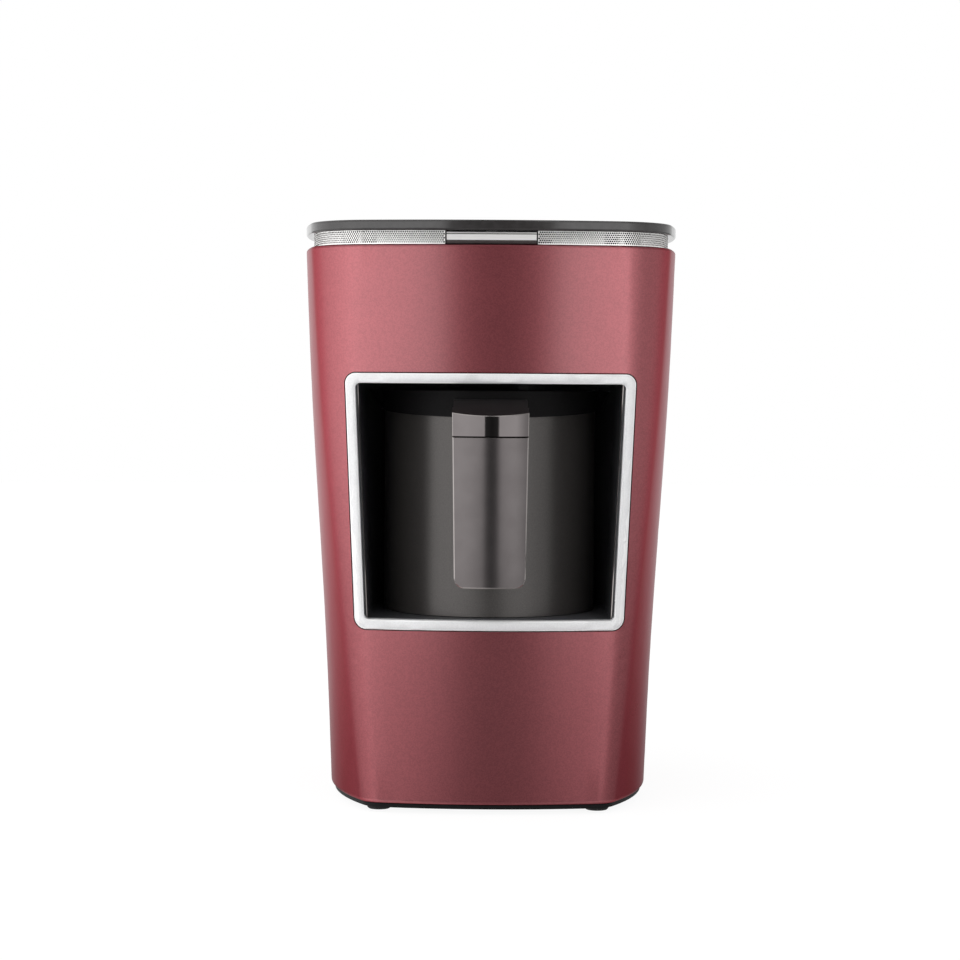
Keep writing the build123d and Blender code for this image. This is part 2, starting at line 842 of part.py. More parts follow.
def make_sensor_cable():
    return column(0, pot_axis_y, cable_radius, chamber_ceiling_z + sensor_height, control_z)


# ---- power board and what it carries ----
def make_power_board():
    board = block(-power_half_width, power_half_width, power_front_y, power_rear_y,
                  power_z, power_z + board_thickness)
    for x, y in power_screw_places():
        board -= screw_hole(x, y, power_z - 1, power_z + board_thickness + 1)
    return board


def board_part(size, place):
    low = power_z + board_thickness
    return Pos(place[0], power_y + place[1], low) * Box(*size, align=(Align.CENTER, Align.CENTER, Align.MIN))


# ---- socket behind the chamber ----
def pin_places():
    return [-pin_pitch, 0.0, pin_pitch]


def socket_nose(grow):
    half = plug_half_width - socket_nose_margin + grow
    return block(-half, half, recess_y, contact_y,
                 plug_bottom_z + socket_nose_margin - grow, plug_top_z - socket_nose_margin + grow)


def make_socket_housing():
    housing = block(-socket_half_width, socket_half_width, socket_y, socket_back_y,
                    plug_bottom_z - socket_margin_z, plug_top_z + socket_margin_z)
    housing += socket_nose(0)
    for x in pin_places():
        housing -= rod_y(x, pin_z, pin_radius + pin_entry_gap, recess_y - 1, contact_y)
        housing -= rod_y(x, pin_z, contact_radius + contact_gap, contact_y, contact_y + contact_length)
        housing -= rod_y(x, pin_z, contact_tail_radius + contact_gap, socket_y, socket_back_y + 1)
    return housing


def make_socket_contacts():
    contacts = []
    start, end = contact_y, contact_y + contact_length
    for x in pin_places():
        sleeve = rod_y(x, pin_z, contact_radius, start, end)
        sleeve -= rod_y(x, pin_z, contact_radius - contact_wall, start - 1, end - contact_back_wall)
        tail = rod_y(x, pin_z, contact_tail_radius, end, socket_back_y + contact_tail_reach)
        contacts.append(sleeve + tail)
    return Compound(children=contacts)


def make_socket_leads():
    start_y = power_y + terminal_at[1]
    start_z = power_z + board_thickness + terminal_size[2]
    end_y = socket_back_y + contact_tail_reach - contact_tail_radius
    end_z = pin_z - contact_tail_radius - contact_gap
    leads = []
    for x in pin_places():
        points = [
            (x, start_y, start_z),
            (x, start_y, start_z + lead_rise),
            (x, end_y, end_z - lead_drop),
            (x, end_y, end_z),
        ]
        leads.append(lead(points, lead_bend_radius, lead_radius))
    return Compound(children=leads)


def make_control_harness():
    low = power_z + board_thickness
    high = control_z
    points = [
        (harness_board_x, harness_y, low),
        (harness_board_x, harness_y, low + harness_board_rise),
        (harness_x, harness_y, low + harness_side_rise),
        (harness_x, harness_y, high - harness_side_drop),
        (harness_carrier_x, harness_carrier_y, high - harness_carrier_drop),
        (harness_carrier_x, harness_carrier_y, high),
    ]
    return lead(points, harness_bend_radius, harness_radius)


# ---- cord inlet ----
def gland_wall_y():
    return taper(back_y_base, back_y_rim, gland_z)


def make_cord_gland():
    wall_y = gland_wall_y()
    flange_y = wall_y + gland_flange_gap
    gland = rod_y(0, gland_z, gland_barrel_radius, wall_y - shell_wall - gland_inner_reach, flange_y)
    gland += rod_y(0, gland_z, gland_flange_radius, flange_y, flange_y + gland_flange_thickness)
    return gland - rod_y(0, gland_z, cord_radius, pot_axis_y, back_y_rim + overcut)


def make_gland_nut():
    rear = gland_wall_y() - shell_wall - gland_flange_gap
    nut = rod_y(0, gland_z, gland_nut_radius, rear - gland_nut_thickness, rear)
    return nut - rod_y(0, gland_z, gland_barrel_radius + contact_gap, pot_axis_y, back_y_rim)


# ---- pot ----
def spout(side, shrink, z_top):
    low = collar_top_z - spout_drop
    x = side * (collar_radius + spout_reach - spout_radius_top)
    slope = Cone(spout_radius_low - shrink, spout_radius_top - shrink, spout_drop,
                 align=(Align.CENTER, Align.CENTER, Align.MIN))
    top = column(x, pot_axis_y, spout_radius_top - shrink, collar_top_z, z_top)
    body = Pos(x, pot_axis_y, low) * slope
    return body + top if z_top > collar_top_z else body


def make_pot_body():
    pot = column(0, pot_axis_y, pot_radius, pot_bottom_z, pot_rim_z)
    inner = pot_radius - pot_wall
    pot -= column(0, pot_axis_y, inner, pot_floor_z, pot_rim_z + 1)
    pot -= column(0, pot_axis_y, inner, pot_bottom_z - 1, pot_floor_z - pot_floor_thickness)
    for side in (-1, 1):
        pot -= spout(side, spout_wall - contact_gap, collar_top_z + 1)
    return pot - plug_block(contact_gap)


def make_pot_collar():
    ring = column(0, pot_axis_y, collar_radius, collar_skirt_z, collar_top_z)
    for side in (-1, 1):
        ring += spout(side, 0, collar_top_z)
    ring -= column(0, pot_axis_y, collar_bore_radius, 0, far)
    for side in (-1, 1):
        ring -= spout(side, spout_wall, collar_top_z + 1)
    groove = tube(0, pot_axis_y, pot_radius + fixed_gap, pot_radius - pot_wall - fixed_gap,
                  0, pot_rim_z + fixed_gap)
    inner_skirt = column(0, pot_axis_y, pot_radius, 0, collar_top_z - collar_lip_drop)
    hinge = Pos(0, pot_axis_y - collar_radius, collar_skirt_z) * Rot(X=collar_skirt_tilt)
    below = hinge * block(-far, far, -far / 4, far, -far / 4, 0)
    tongue = block(-tongue_half_width, tongue_half_width, pot_axis_y - collar_radius - tongue_length,
                   pot_axis_y - collar_radius + 1, tongue_z, tongue_z + tongue_thickness)
    for x, y in handle_screw_places():
        tongue -= screw_hole(x, y, tongue_z - 1, tongue_z + tongue_thickness + 1)
    joint_radius = (pot_radius + collar_radius) / 2
    return ring - groove - inner_skirt - below + (tongue - column(0, pot_axis_y, joint_radius, 0, far))


# ---- pot base ----
def cover_post_places():
    places = []
    for i in range(cover_post_count):
        angle = math.radians(-90 + 360 / cover_post_count * i)
        places.append((cover_post_ring * math.cos(angle), pot_axis_y + cover_post_ring * math.sin(angle)))
    return places


def make_heater_plate():
    plate = column(0, pot_axis_y, heater_plate_radius, heater_z, heater_z + heater_plate_thickness)
    return plate - plug_block(slide_gap)


def make_heating_element():
    z = heater_z - element_tube_radius - contact_gap
    return Pos(0, pot_axis_y, z) * Torus(element_ring_radius, element_tube_radius)


def make_pot_thermostat():
    return column(0, pot_axis_y, thermostat_radius, heater_z - thermostat_height, heater_z)


def make_pot_cover():
    low = pot_bottom_z + cover_lift
    cover = column(0, pot_axis_y, cover_radius, low, cover_top_z)
    for x, y in cover_post_places():
        cover += column(x, y, cover_post_radius, cover_top_z, heater_z)
        cover -= head_pocket(x, y, low - 1, low + cover_screw_sink)
        cover -= screw_hole(x, y, low - 1, heater_z + 1)
    return cover - plug_block(contact_gap)


def make_pot_seal():
    low, high = cover_top_z, cover_top_z + seal_height
    ring = tube(0, pot_axis_y, cover_radius, cover_radius - seal_width, low, high)
    return ring - plug_block(slide_gap)


def plug_block(grow):
    inner_y = pot_back_y - plug_root
    outer_y = pot_back_y + plug_reach
    half = plug_half_width + grow
    return block(-half, half, inner_y - grow, outer_y + grow, plug_bottom_z - grow, plug_top_z + grow)


def make_plug_housing():
    plug = plug_block(0)
    for x in pin_places():
        plug -= rod_y(x, pin_z, pin_radius + screw_gap, pot_axis_y, far)
    return plug


def make_plug_pins():
    face_y = pot_back_y + plug_reach
    root_y = pot_back_y - plug_root + pin_root_cover
    pins = []
    for x in pin_places():
        pin = rod_y(x, pin_z, pin_radius, root_y, face_y + pin_reach)
        tip = pin.edges().sort_by(Axis.Y)[-1]
        pins.append(chamfer(tip, pin_tip_chamfer))
    return Compound(children=pins)


# ---- handle ----
def handle_half(level, narrowing=0.0):
    share = (level - handle_bottom_z) / (handle_top_z - handle_bottom_z)
    return handle_half_bottom + (handle_half_top - handle_half_bottom) * share - narrowing


def handle_front_prism(low, high, y_low, y_high, corner):
    points = [
        (-handle_half(low), low),
        (handle_half(low), low),
        (handle_half(high), high),
        (-handle_half(high), high),
    ]
    face = make_face(Polyline(*points, close=True))
    if corner:
        face = fillet(face.vertices().sort_by(Axis.Y)[:2], corner)
    return extrude(Plane.XZ.offset(-y_high) * face, amount=y_high - y_low)


def handle_crown():
    # the convex front that the face panel and the cap share
    return column(0, handle_front_y + handle_face_radius, handle_face_radius, 0, far)


def make_handle_face():
    tab = handle_front_prism(handle_bottom_z, handle_split_z, handle_front_y - 1, handle_seam_y,
                             handle_corner_radius)
    tab = tab & handle_crown()
    front = tab.faces().sort_by(Axis.Y)[0]
    return chamfer(front.edges().sort_by(Axis.Z)[:-1], handle_edge_bevel)


def handle_slope_space(drop):
    # all that lies over the cap's sloping top, lowered by drop
    rise = handle_top_z - handle_cap_edge_z
    low_z = handle_cap_edge_z - drop - rise * overcut / handle_cap_slope_length
    line = Polyline((handle_front_y - overcut, low_z),
                    (handle_front_y + handle_cap_slope_length, handle_top_z - drop),
                    (pot_axis_y, handle_top_z - drop),
                    (pot_axis_y, handle_top_z + overcut),
                    (handle_front_y - overcut, handle_top_z + overcut), close=True)
    return extrude(Plane.YZ.offset(-far / 4) * make_face(line), amount=far / 2)


def make_handle_cap():
    low = handle_split_z + handle_split_gap
    cap = handle_front_prism(low, handle_top_z, handle_front_y - 1, handle_back_y, 0) & handle_crown()
    half = handle_half(handle_top_z, handle_arm_narrowing)
    slab = block(-half, half, handle_back_y - 1, pot_axis_y, handle_split_z, handle_top_z)
    slab -= column(0, pot_axis_y, collar_radius + fixed_gap, 0, far)
    seat = block(-far, far, handle_seam_y, pot_axis_y, 0, far) - handle_slope_space(handle_cap_thickness)
    cap = cap + slab - handle_slope_space(0) - seat
    for x, y in handle_screw_places():
        cap -= screw_hole(x, y, handle_arm_bottom_z - 1, handle_top_z - 1)
    return cap


def make_handle_core():
    seam = handle_seam_y + contact_gap
    core = handle_front_prism(handle_bottom_z + handle_core_rise, handle_split_z, seam, handle_back_y,
                              handle_corner_radius)
    core += handle_front_prism(handle_split_z, handle_top_z - handle_cap_thickness - contact_gap,
                               seam, handle_back_y, 0)
    half = handle_half(handle_top_z, handle_arm_narrowing)
    arm = block(-half, half, handle_back_y - 1, pot_axis_y, handle_arm_bottom_z,
                handle_top_z - handle_cap_thickness - contact_gap)
    arm -= column(0, pot_axis_y, collar_radius + fixed_gap, 0, far)
    core += arm
    core -= block(-tongue_half_width - fixed_gap, tongue_half_width + fixed_gap,
                  pot_axis_y - collar_radius - tongue_length - fixed_gap, pot_axis_y,
                  tongue_z - fixed_gap, tongue_z + tongue_thickness + fixed_gap)
    core -= handle_slope_space(handle_cap_thickness + contact_gap)
    for x, y in handle_screw_places():
        core -= screw_hole(x, y, handle_arm_bottom_z - 1, handle_top_z)
    return core


def handle_screw_places():
    y = pot_axis_y - collar_radius - tongue_length / 2
    return [(-tongue_half_width / 2, y), (tongue_half_width / 2, y)]


# ---- every node, by name ----
def make_parts():
    parts = {
        "outer_shell": make_outer_shell(),
        "window_bezel": make_window_bezel(),
        "chamber_liner": make_chamber_liner(),
        "steam_duct": make_steam_duct(),
        "base_plate": make_base_plate(),
        "chassis": make_chassis(),
        "top_carrier": make_top_carrier(),
        "vent_band": make_vent_band(),
        "top_plate": make_top_plate(),
        "button_guide": make_button_guide(),
        "start_button": make_start_button(),
        "control_board": make_control_board(),
        "start_switch": make_start_switch(),
        "buzzer": make_buzzer(),
        "controller_chip": make_controller_chip(),
        "sensor_housing": make_sensor_housing(),
        "sensor_lens": make_sensor_lens(),
        "sensor_cable": make_sensor_cable(),
        "power_board": make_power_board(),
        "transformer": board_part(transformer_size, transformer_at),
        "relay": board_part(relay_size, relay_at),
        "capacitor": board_part(capacitor_size, capacitor_at),
        "terminal_block": board_part(terminal_size, terminal_at),
        "socket_housing": make_socket_housing(),
        "socket_contacts": make_socket_contacts(),
        "socket_leads": make_socket_leads(),
        "control_harness": make_control_harness(),
        "cord_gland": make_cord_gland(),
        "gland_nut": make_gland_nut(),
        "pot_body": make_pot_body(),
        "pot_collar": make_pot_collar(),
        "heater_plate": make_heater_plate(),
        "heating_element": make_heating_element(),
        "pot_thermostat": make_pot_thermostat(),
        "pot_cover": make_pot_cover(),
        "pot_seal": make_pot_seal(),
        "plug_housing": make_plug_housing(),
        "plug_pins": make_plug_pins(),
        "handle_face": make_handle_face(),
        "handle_core": make_handle_core(),
        "handle_cap": make_handle_cap(),
    }
    for name, (x, y) in foot_places().items():
        parts[name] = make_foot(x, y)
    shell_low = boss_places(base_top_z + boss_height / 2)
    shell_high = boss_places(carrier_floor_z - boss_height / 2)
    cover_screw_z = pot_bottom_z + cover_lift + cover_screw_sink - screw_head_height
    parts["shell_screws"] = screws_up(shell_low, underside_z + screw_head_sink)
    parts["chassis_screws"] = screws_up(leg_places(), underside_z + screw_head_sink)
    parts["plate_screws"] = screws_up(plate_boss_places(), carrier_floor_z - screw_head_height)
    parts["pot_cover_screws"] = screws_up(cover_post_places(), cover_screw_z)
    parts["handle_screws"] = screws_up(handle_screw_places(), handle_arm_bottom_z - screw_head_height)
    parts["power_board_screws"] = screws_down(
        power_screw_places(), power_z + board_thickness, board_thickness + power_standoff_height)
    parts["control_board_screws"] = screws_down(
        control_screw_places(), control_z + board_thickness,
        board_thickness + standoff_height + carrier_thickness)
    parts["carrier_screws"] = screws_down(shell_high, carrier_top_z, screw_length)
    return parts


os.makedirs("parts", exist_ok=True)
for node, shape in make_parts().items():
    export_step(shape, f"parts/{node}.step")
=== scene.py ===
import bmesh
import bpy
import math
from mathutils import Matrix, Vector, geometry, kdtree


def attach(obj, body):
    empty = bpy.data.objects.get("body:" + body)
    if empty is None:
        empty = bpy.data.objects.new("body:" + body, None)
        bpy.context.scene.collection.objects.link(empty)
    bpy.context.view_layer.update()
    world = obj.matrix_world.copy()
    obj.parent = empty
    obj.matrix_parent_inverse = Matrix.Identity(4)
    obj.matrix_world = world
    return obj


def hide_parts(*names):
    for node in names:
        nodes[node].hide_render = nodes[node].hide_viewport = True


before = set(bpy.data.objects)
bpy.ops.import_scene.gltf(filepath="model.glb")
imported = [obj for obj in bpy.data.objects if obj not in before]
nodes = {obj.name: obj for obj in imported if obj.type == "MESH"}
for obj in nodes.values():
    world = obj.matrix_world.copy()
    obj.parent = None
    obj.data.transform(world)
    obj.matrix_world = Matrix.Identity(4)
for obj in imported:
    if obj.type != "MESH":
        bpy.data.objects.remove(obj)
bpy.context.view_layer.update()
print("frame loaded:", len(nodes), "nodes")

mm = 0.001
same = 0.01 * mm             # points and levels this close count as one


# colours are written as sRGB hex; this is the sRGB curve, undone
def toLinear(hexColour):
    channels = [int(hexColour[i:i + 2], 16) / 255 for i in (1, 3, 5)]
    linear = [c / 12.92 if c <= 0.04045 else ((c + 0.055) / 1.055) ** 2.4 for c in channels]
    return (*linear, 1.0)


# one node, its settings given by name; an input is a value, or a socket, a node or a list of nodes to link
def addNode(tree, kind, inputs=None, **settings):
    node = tree.nodes.new(kind)
    for key, value in settings.items():
        setattr(node, key, value)
    for key, value in (inputs or {}).items():
        sources = value if isinstance(value, list) else [value]
        if not isinstance(sources[0], (bpy.types.Node, bpy.types.NodeSocket)):
            node.inputs[key].default_value = value
            continue
        for source in sources:
            tree.links.new(source.outputs[0] if isinstance(source, bpy.types.Node) else source,
                           node.inputs[key])
    return node


def startMaterial(name):
    material = bpy.data.materials.new(name)
    material.use_nodes = True
    tree = material.node_tree
    tree.nodes.clear()
    place = addNode(tree, "ShaderNodeTexCoord").outputs["Object"]
    return material, tree, place


def closeMaterial(material, tree, shader):
    addNode(tree, "ShaderNodeOutputMaterial", {"Surface": shader})
    return material


# two colours over a 0..1 pattern, with a soft step between low and high
def tintBetween(tree, pattern, dark, light, low=0.35, high=0.65):
    step = addNode(tree, "ShaderNodeMapRange",
                   {"Value": pattern, "From Min": low, "From Max": high}, interpolation_type="SMOOTHSTEP")
    mix = addNode(tree, "ShaderNodeMix", {0: step, 6: toLinear(dark), 7: toLinear(light)}, data_type="RGBA")
    return mix.outputs[2]


redLacquer = {
    "flake": 0.45 * mm,      # real flakes are 0.03 mm, drawn as coarse as they need to show
    "flakeStep": (0.1, 0.9), # how softly the two reds meet
    "flakeBump": 0.06,
    "flakeRelief": 0.02 * mm,
    "mottle": 14 * mm,
    "dark": "#833f45",
    "light": "#90474d",
    "edge": "#c78f95",
    "metallic": 1.0,
    "roughness": (0.26, 0.31),
    "coat": (0.7, 0.22),     # facing the eye, and turned 60 degrees from it or more
    "turned": (0.05, 0.5),   # where the one coat gives way to the other: 0 faces the eye, 1 is edge-on
    "coatIor": 1.62,
    "coatRoughness": 0.17,
}


# metallic lacquer sprayed on drawn aluminium: red flakes glitter under a satin clear coat
def makeRedLacquer(v=redLacquer):
    material, tree, place = startMaterial("metallicRedLacquer")
    flake = addNode(tree, "ShaderNodeTexVoronoi", {"Vector": place, "Scale": 1 / v["flake"]})
    grey = addNode(tree, "ShaderNodeRGBToBW", {"Color": flake.outputs["Color"]})
    mottle = addNode(tree, "ShaderNodeTexNoise", {"Vector": place, "Scale": 1 / v["mottle"], "Detail": 3.0})
    rough = addNode(tree, "ShaderNodeMapRange",
                    {"Value": mottle, "To Min": v["roughness"][0], "To Max": v["roughness"][1]})
    bump = addNode(tree, "ShaderNodeBump",
                   {"Height": grey, "Strength": v["flakeBump"], "Distance": v["flakeRelief"]})
    facing = addNode(tree, "ShaderNodeLayerWeight", {"Blend": 0.5})
    fade = addNode(tree, "ShaderNodeMapRange", {
        "Value": facing.outputs["Facing"], "From Min": v["turned"][0], "From Max": v["turned"][1],
        "To Min": v["coat"][0], "To Max": v["coat"][1]})
    shader = addNode(tree, "ShaderNodeBsdfPrincipled", {
        "Base Color": tintBetween(tree, grey, v["dark"], v["light"], *v["flakeStep"]),
        "Metallic": v["metallic"],
        "Roughness": rough,
        "Normal": bump,
        "Specular Tint": toLinear(v["edge"]),
        "Coat Weight": fade,
        "Coat IOR": v["coatIor"],
        "Coat Roughness": v["coatRoughness"],
    })
    return closeMaterial(material, tree, shader)


satinSilver = {
    "grain": 0.6 * mm,
    "grainBump": 0.05,
    "grainRelief": 0.02 * mm,
    "dark": "#e3e3e4",
    "light": "#e9e9ea",
    "metallic": 0.2,
    "roughness": (0.42, 0.48),
}


# satin silver paint on moulded ABS: even and milky, with only a soft sheen
def makeSatinSilver(v=satinSilver):
    material, tree, place = startMaterial("satinSilverPaint")
    peel = addNode(tree, "ShaderNodeTexNoise", {"Vector": place, "Scale": 1 / v["grain"], "Detail": 4.0})
    rough = addNode(tree, "ShaderNodeMapRange",
                    {"Value": peel, "To Min": v["roughness"][0], "To Max": v["roughness"][1]})
    bump = addNode(tree, "ShaderNodeBump",
                   {"Height": peel, "Strength": v["grainBump"], "Distance": v["grainRelief"]})
    shader = addNode(tree, "ShaderNodeBsdfPrincipled", {
        "Base Color": tintBetween(tree, peel, v["dark"], v["light"]),
        "Metallic": v["metallic"],
        "Roughness": rough,
        "Normal": bump,
    })
    return closeMaterial(material, tree, shader)


plasticSkin = {
    "cloud": 30 * mm,        # size of the patches that are a little duller or glossier
    "spread": 0.1,           # how much duller or glossier, as a share
    "bump": 0.5,
    "coatRoughness": 0.05,
}


# moulded plastics: polished ones mirror the lamps with slight haze, textured ones carry a spark-eroded grain
def makePlastic(name, dark, light, roughness, grain, depth, coat=0.0, ior=1.5, v=plasticSkin):
    material, tree, place = startMaterial(name)
    texture = addNode(tree, "ShaderNodeTexNoise", {"Vector": place, "Scale": 1 / grain, "Detail": 4.0})
    cloud = addNode(tree, "ShaderNodeTexNoise", {"Vector": place, "Scale": 1 / v["cloud"], "Detail": 2.0})
    rough = addNode(tree, "ShaderNodeMapRange", {
        "Value": cloud, "To Min": roughness * (1 - v["spread"]), "To Max": roughness * (1 + v["spread"])})
    bump = addNode(tree, "ShaderNodeBump", {"Height": texture, "Strength": v["bump"], "Distance": depth})
    shader = addNode(tree, "ShaderNodeBsdfPrincipled", {
        "Base Color": tintBetween(tree, texture, dark, light),
        "Roughness": rough,
        "IOR": ior,
        "Normal": bump,
        "Coat Weight": coat,
        "Coat Roughness": v["coatRoughness"],
    })
    return closeMaterial(material, tree, shader)


brushedAluminium = {
    "line": 0.12 * mm,       # width of the grit lines
    "length": 7.2 * mm,      # and their length, along the bar
    "lineBump": 0.15,
    "lineRelief": 0.01 * mm,
    "dark": "#d2d1d0",
    "light": "#dddcdb",
    "metallic": 0.35,
    "roughness": (0.34, 0.44),
}


# brushed aluminium, clear anodised: long fine lines under a milky skin, light from any side
def makeBrushed(v=brushedAluminium):
    material, tree, place = startMaterial("brushedAluminium")
    mapping = addNode(tree, "ShaderNodeMapping",
                      {"Vector": place, "Scale": (1 / v["length"], 1 / v["line"], 1 / v["line"])})
    lines = addNode(tree, "ShaderNodeTexNoise", {"Vector": mapping, "Scale": 1.0, "Detail": 3.0})
    rough = addNode(tree, "ShaderNodeMapRange",
                    {"Value": lines, "To Min": v["roughness"][0], "To Max": v["roughness"][1]})
    bump = addNode(tree, "ShaderNodeBump",
                   {"Height": lines, "Strength": v["lineBump"], "Distance": v["lineRelief"]})
    shader = addNode(tree, "ShaderNodeBsdfPrincipled", {
        "Base Color": tintBetween(tree, lines, v["dark"], v["light"]),
        "Metallic": v["metallic"],
        "Roughness": rough,
        "Normal": bump,
    })
    return closeMaterial(material, tree, shader)


metalSkin = {
    "stain": 9 * mm,
    "stainStep": (0.3, 0.7), # how softly the two tones meet
    "spread": 0.15,          # how much duller or brighter the tooth is, as a share
    "bump": 0.2,
    "relief": 0.01 * mm,
}


# plain metals: rolled, plated, cast or turned, with a fine tooth and small stains
def makeMetal(name, dark, light, roughness, grain, metallic=1.0, v=metalSkin):
    material, tree, place = startMaterial(name)
    tooth = addNode(tree, "ShaderNodeTexNoise", {"Vector": place, "Scale": 1 / grain, "Detail": 3.0})
    stain = addNode(tree, "ShaderNodeTexNoise", {"Vector": place, "Scale": 1 / v["stain"], "Detail": 2.0})
    rough = addNode(tree, "ShaderNodeMapRange", {
        "Value": tooth, "To Min": roughness * (1 - v["spread"]), "To Max": roughness * (1 + v["spread"])})
    bump = addNode(tree, "ShaderNodeBump", {"Height": tooth, "Strength": v["bump"], "Distance": v["relief"]})
    shader = addNode(tree, "ShaderNodeBsdfPrincipled", {
        "Base Color": tintBetween(tree, stain, dark, light, *v["stainStep"]),
        "Metallic": metallic,
        "Roughness": rough,
        "Normal": bump,
    })
    return closeMaterial(material, tree, shader)


potCoating = {
    "fleck": 0.3 * mm,
    "dark": "#444140",
    "light": "#4e4b49",
    "metallic": 0.5,
    "roughness": (0.30, 0.36),
}


# pewter-grey heat-proof coating on the drawn pot: metallic flecks in a dark binder
def makePotCoating(v=potCoating):
    material, tree, place = startMaterial("pewterPotCoating")
    fleck = addNode(tree, "ShaderNodeTexNoise", {"Vector": place, "Scale": 1 / v["fleck"], "Detail": 2.0})
    rough = addNode(tree, "ShaderNodeMapRange",
                    {"Value": fleck, "To Min": v["roughness"][0], "To Max": v["roughness"][1]})
    shader = addNode(tree, "ShaderNodeBsdfPrincipled", {
        "Base Color": tintBetween(tree, fleck, v["dark"], v["light"]),
        "Metallic": v["metallic"],
        "Roughness": rough,
    })
    return closeMaterial(material, tree, shader)


sensorLens = {
    "dust": 1.5 * mm,
    "tone": "#dfe6ea",
    "roughness": (0.02, 0.08),
    "ior": 1.58,
    "clear": 0.9,
}


# clear polycarbonate window of the level sensor: glassy, with a little dust
def makeLens(v=sensorLens):
    material, tree, place = startMaterial("clearPolycarbonate")
    dust = addNode(tree, "ShaderNodeTexNoise", {"Vector": place, "Scale": 1 / v["dust"], "Detail": 2.0})
    rough = addNode(tree, "ShaderNodeMapRange",
                    {"Value": dust, "To Min": v["roughness"][0], "To Max": v["roughness"][1]})
    shader = addNode(tree, "ShaderNodeBsdfPrincipled", {
        "Base Color": toLinear(v["tone"]),
        "Roughness": rough,
        "IOR": v["ior"],
        "Transmission Weight": v["clear"],
    })
    return closeMaterial(material, tree, shader)


# dark and light tone, roughness, size and depth of the grain, then a coat and an IOR where they differ
plastics = {
    # moulded black ABS from a satin tool, its tone lifted to dark grey: painted light in the shaded chamber
    "paintedLightLinerAbs": ("#424245", "#4a4a4d", 0.3, 0.6 * mm, 0.01 * mm),
    # moulded ABS from a polished tool: the top mirrors the lamps
    "polishedGreyAbs": ("#312f2f", "#373535", 0.10, 3 * mm, 0.003 * mm),
    # plain dark grey: the start bar's downward-facing lower bevel and a thin line along its top
    "greyAbs": ("#4b4a49", "#525150", 0.3, 1 * mm, 0.004 * mm),
    # moulded phenolic, heat proof: the pot's rim stays a flat black
    "satinBlackPhenolic": ("#0d0c0d", "#121112", 0.6, 0.5 * mm, 0.02 * mm, 0.0, 1.2),
    # moulded polypropylene with a spark-eroded grain: black with next to no sheen
    "texturedBlackPp": ("#0c0c0d", "#131314", 0.55, 0.5 * mm, 0.05 * mm, 0.0, 1.22),
    # moulded rubber: a dull, soft black
    "blackRubber": ("#101010", "#191919", 0.8, 0.7 * mm, 0.04 * mm),
    # moulded nylon: black with a slight sheen
    "blackNylon": ("#101011", "#18181a", 0.45, 0.6 * mm, 0.03 * mm),
    # glass and epoxy laminate under a solder mask: green and a little glossy
    "greenFr4": ("#0b4a23", "#15602f", 0.35, 2.5 * mm, 0.02 * mm, 0.4),
    # moulded epoxy: dull black component cases
    "blackEpoxy": ("#121212", "#1b1b1b", 0.5, 0.4 * mm, 0.03 * mm),
    # wound polyester tape: a warm yellow, a little glossy
    "yellowPolyester": ("#c79a1c", "#d8ab2c", 0.4, 3 * mm, 0.03 * mm, 0.2),
    # moulded polyamide: an even green
    "greenPolyamide": ("#1c7a3c", "#23864a", 0.5, 0.6 * mm, 0.03 * mm),
    # extruded PVC: pale grey wire jackets
    "greyPvc": ("#8b8b8c", "#969697", 0.5, 0.8 * mm, 0.02 * mm),
    # moulded silicone: a dull brick red
    "redSilicone": ("#a8452f", "#b35039", 0.6, 0.8 * mm, 0.02 * mm),
}

# dark and light tone, roughness and size of the tooth, then how metallic where it isn't wholly
metals = {
    # punched stainless strip: pale, with blurred lamps
    "punchedStainless": ("#eae9e7", "#f2f1ef", 0.34, 0.4 * mm),
    # ABS metallised under a smoky satin lacquer: dark grey that mirrors like metal
    "satinMetallisedAbs": ("#545050", "#585454", 0.22, 0.3 * mm),
    # the same under a gloss lacquer: sharp mirror images
    "glossMetallisedAbs": ("#555151", "#585454", 0.04, 0.5 * mm),
    # the same made paler on narrow edges: a painted highlight, standing in for the lines where edges catch
    # the lamps
    "edgeHighlightMetallised": ("#86817f", "#8e8987", 0.18, 0.3 * mm),
    # silver paint on narrow bevels: smoother than on the flat, and drawn whiter as a painted highlight
    "bevelHighlightSilver": ("#f0f0f0", "#f6f6f6", 0.30, 0.4 * mm, 0.3),
    # turned brass: warm yellow and bright
    "brightBrass": ("#c9a55a", "#d8b66c", 0.28, 0.3 * mm),
    # zinc-plated steel: a cool pale grey
    "zincPlatedSteel": ("#a9abae", "#bcbec0", 0.35, 0.2 * mm),
    # rolled aluminium plate: pale and dull
    "rolledAluminium": ("#b9babb", "#c9cacb", 0.4, 0.3 * mm),
    # plain drawn steel: a warm mid grey
    "plainSteel": ("#8d8a86", "#9b9894", 0.38, 0.3 * mm),
}

finishes = {
    "metallicRedLacquer": makeRedLacquer(),
    "satinSilverPaint": makeSatinSilver(),
    "brushedAluminium": makeBrushed(),
    "pewterPotCoating": makePotCoating(),
    "clearPolycarbonate": makeLens(),
}
for finish, looks in plastics.items():
    finishes[finish] = makePlastic(finish, *looks)
for finish, looks in metals.items():
    finishes[finish] = makeMetal(finish, *looks)

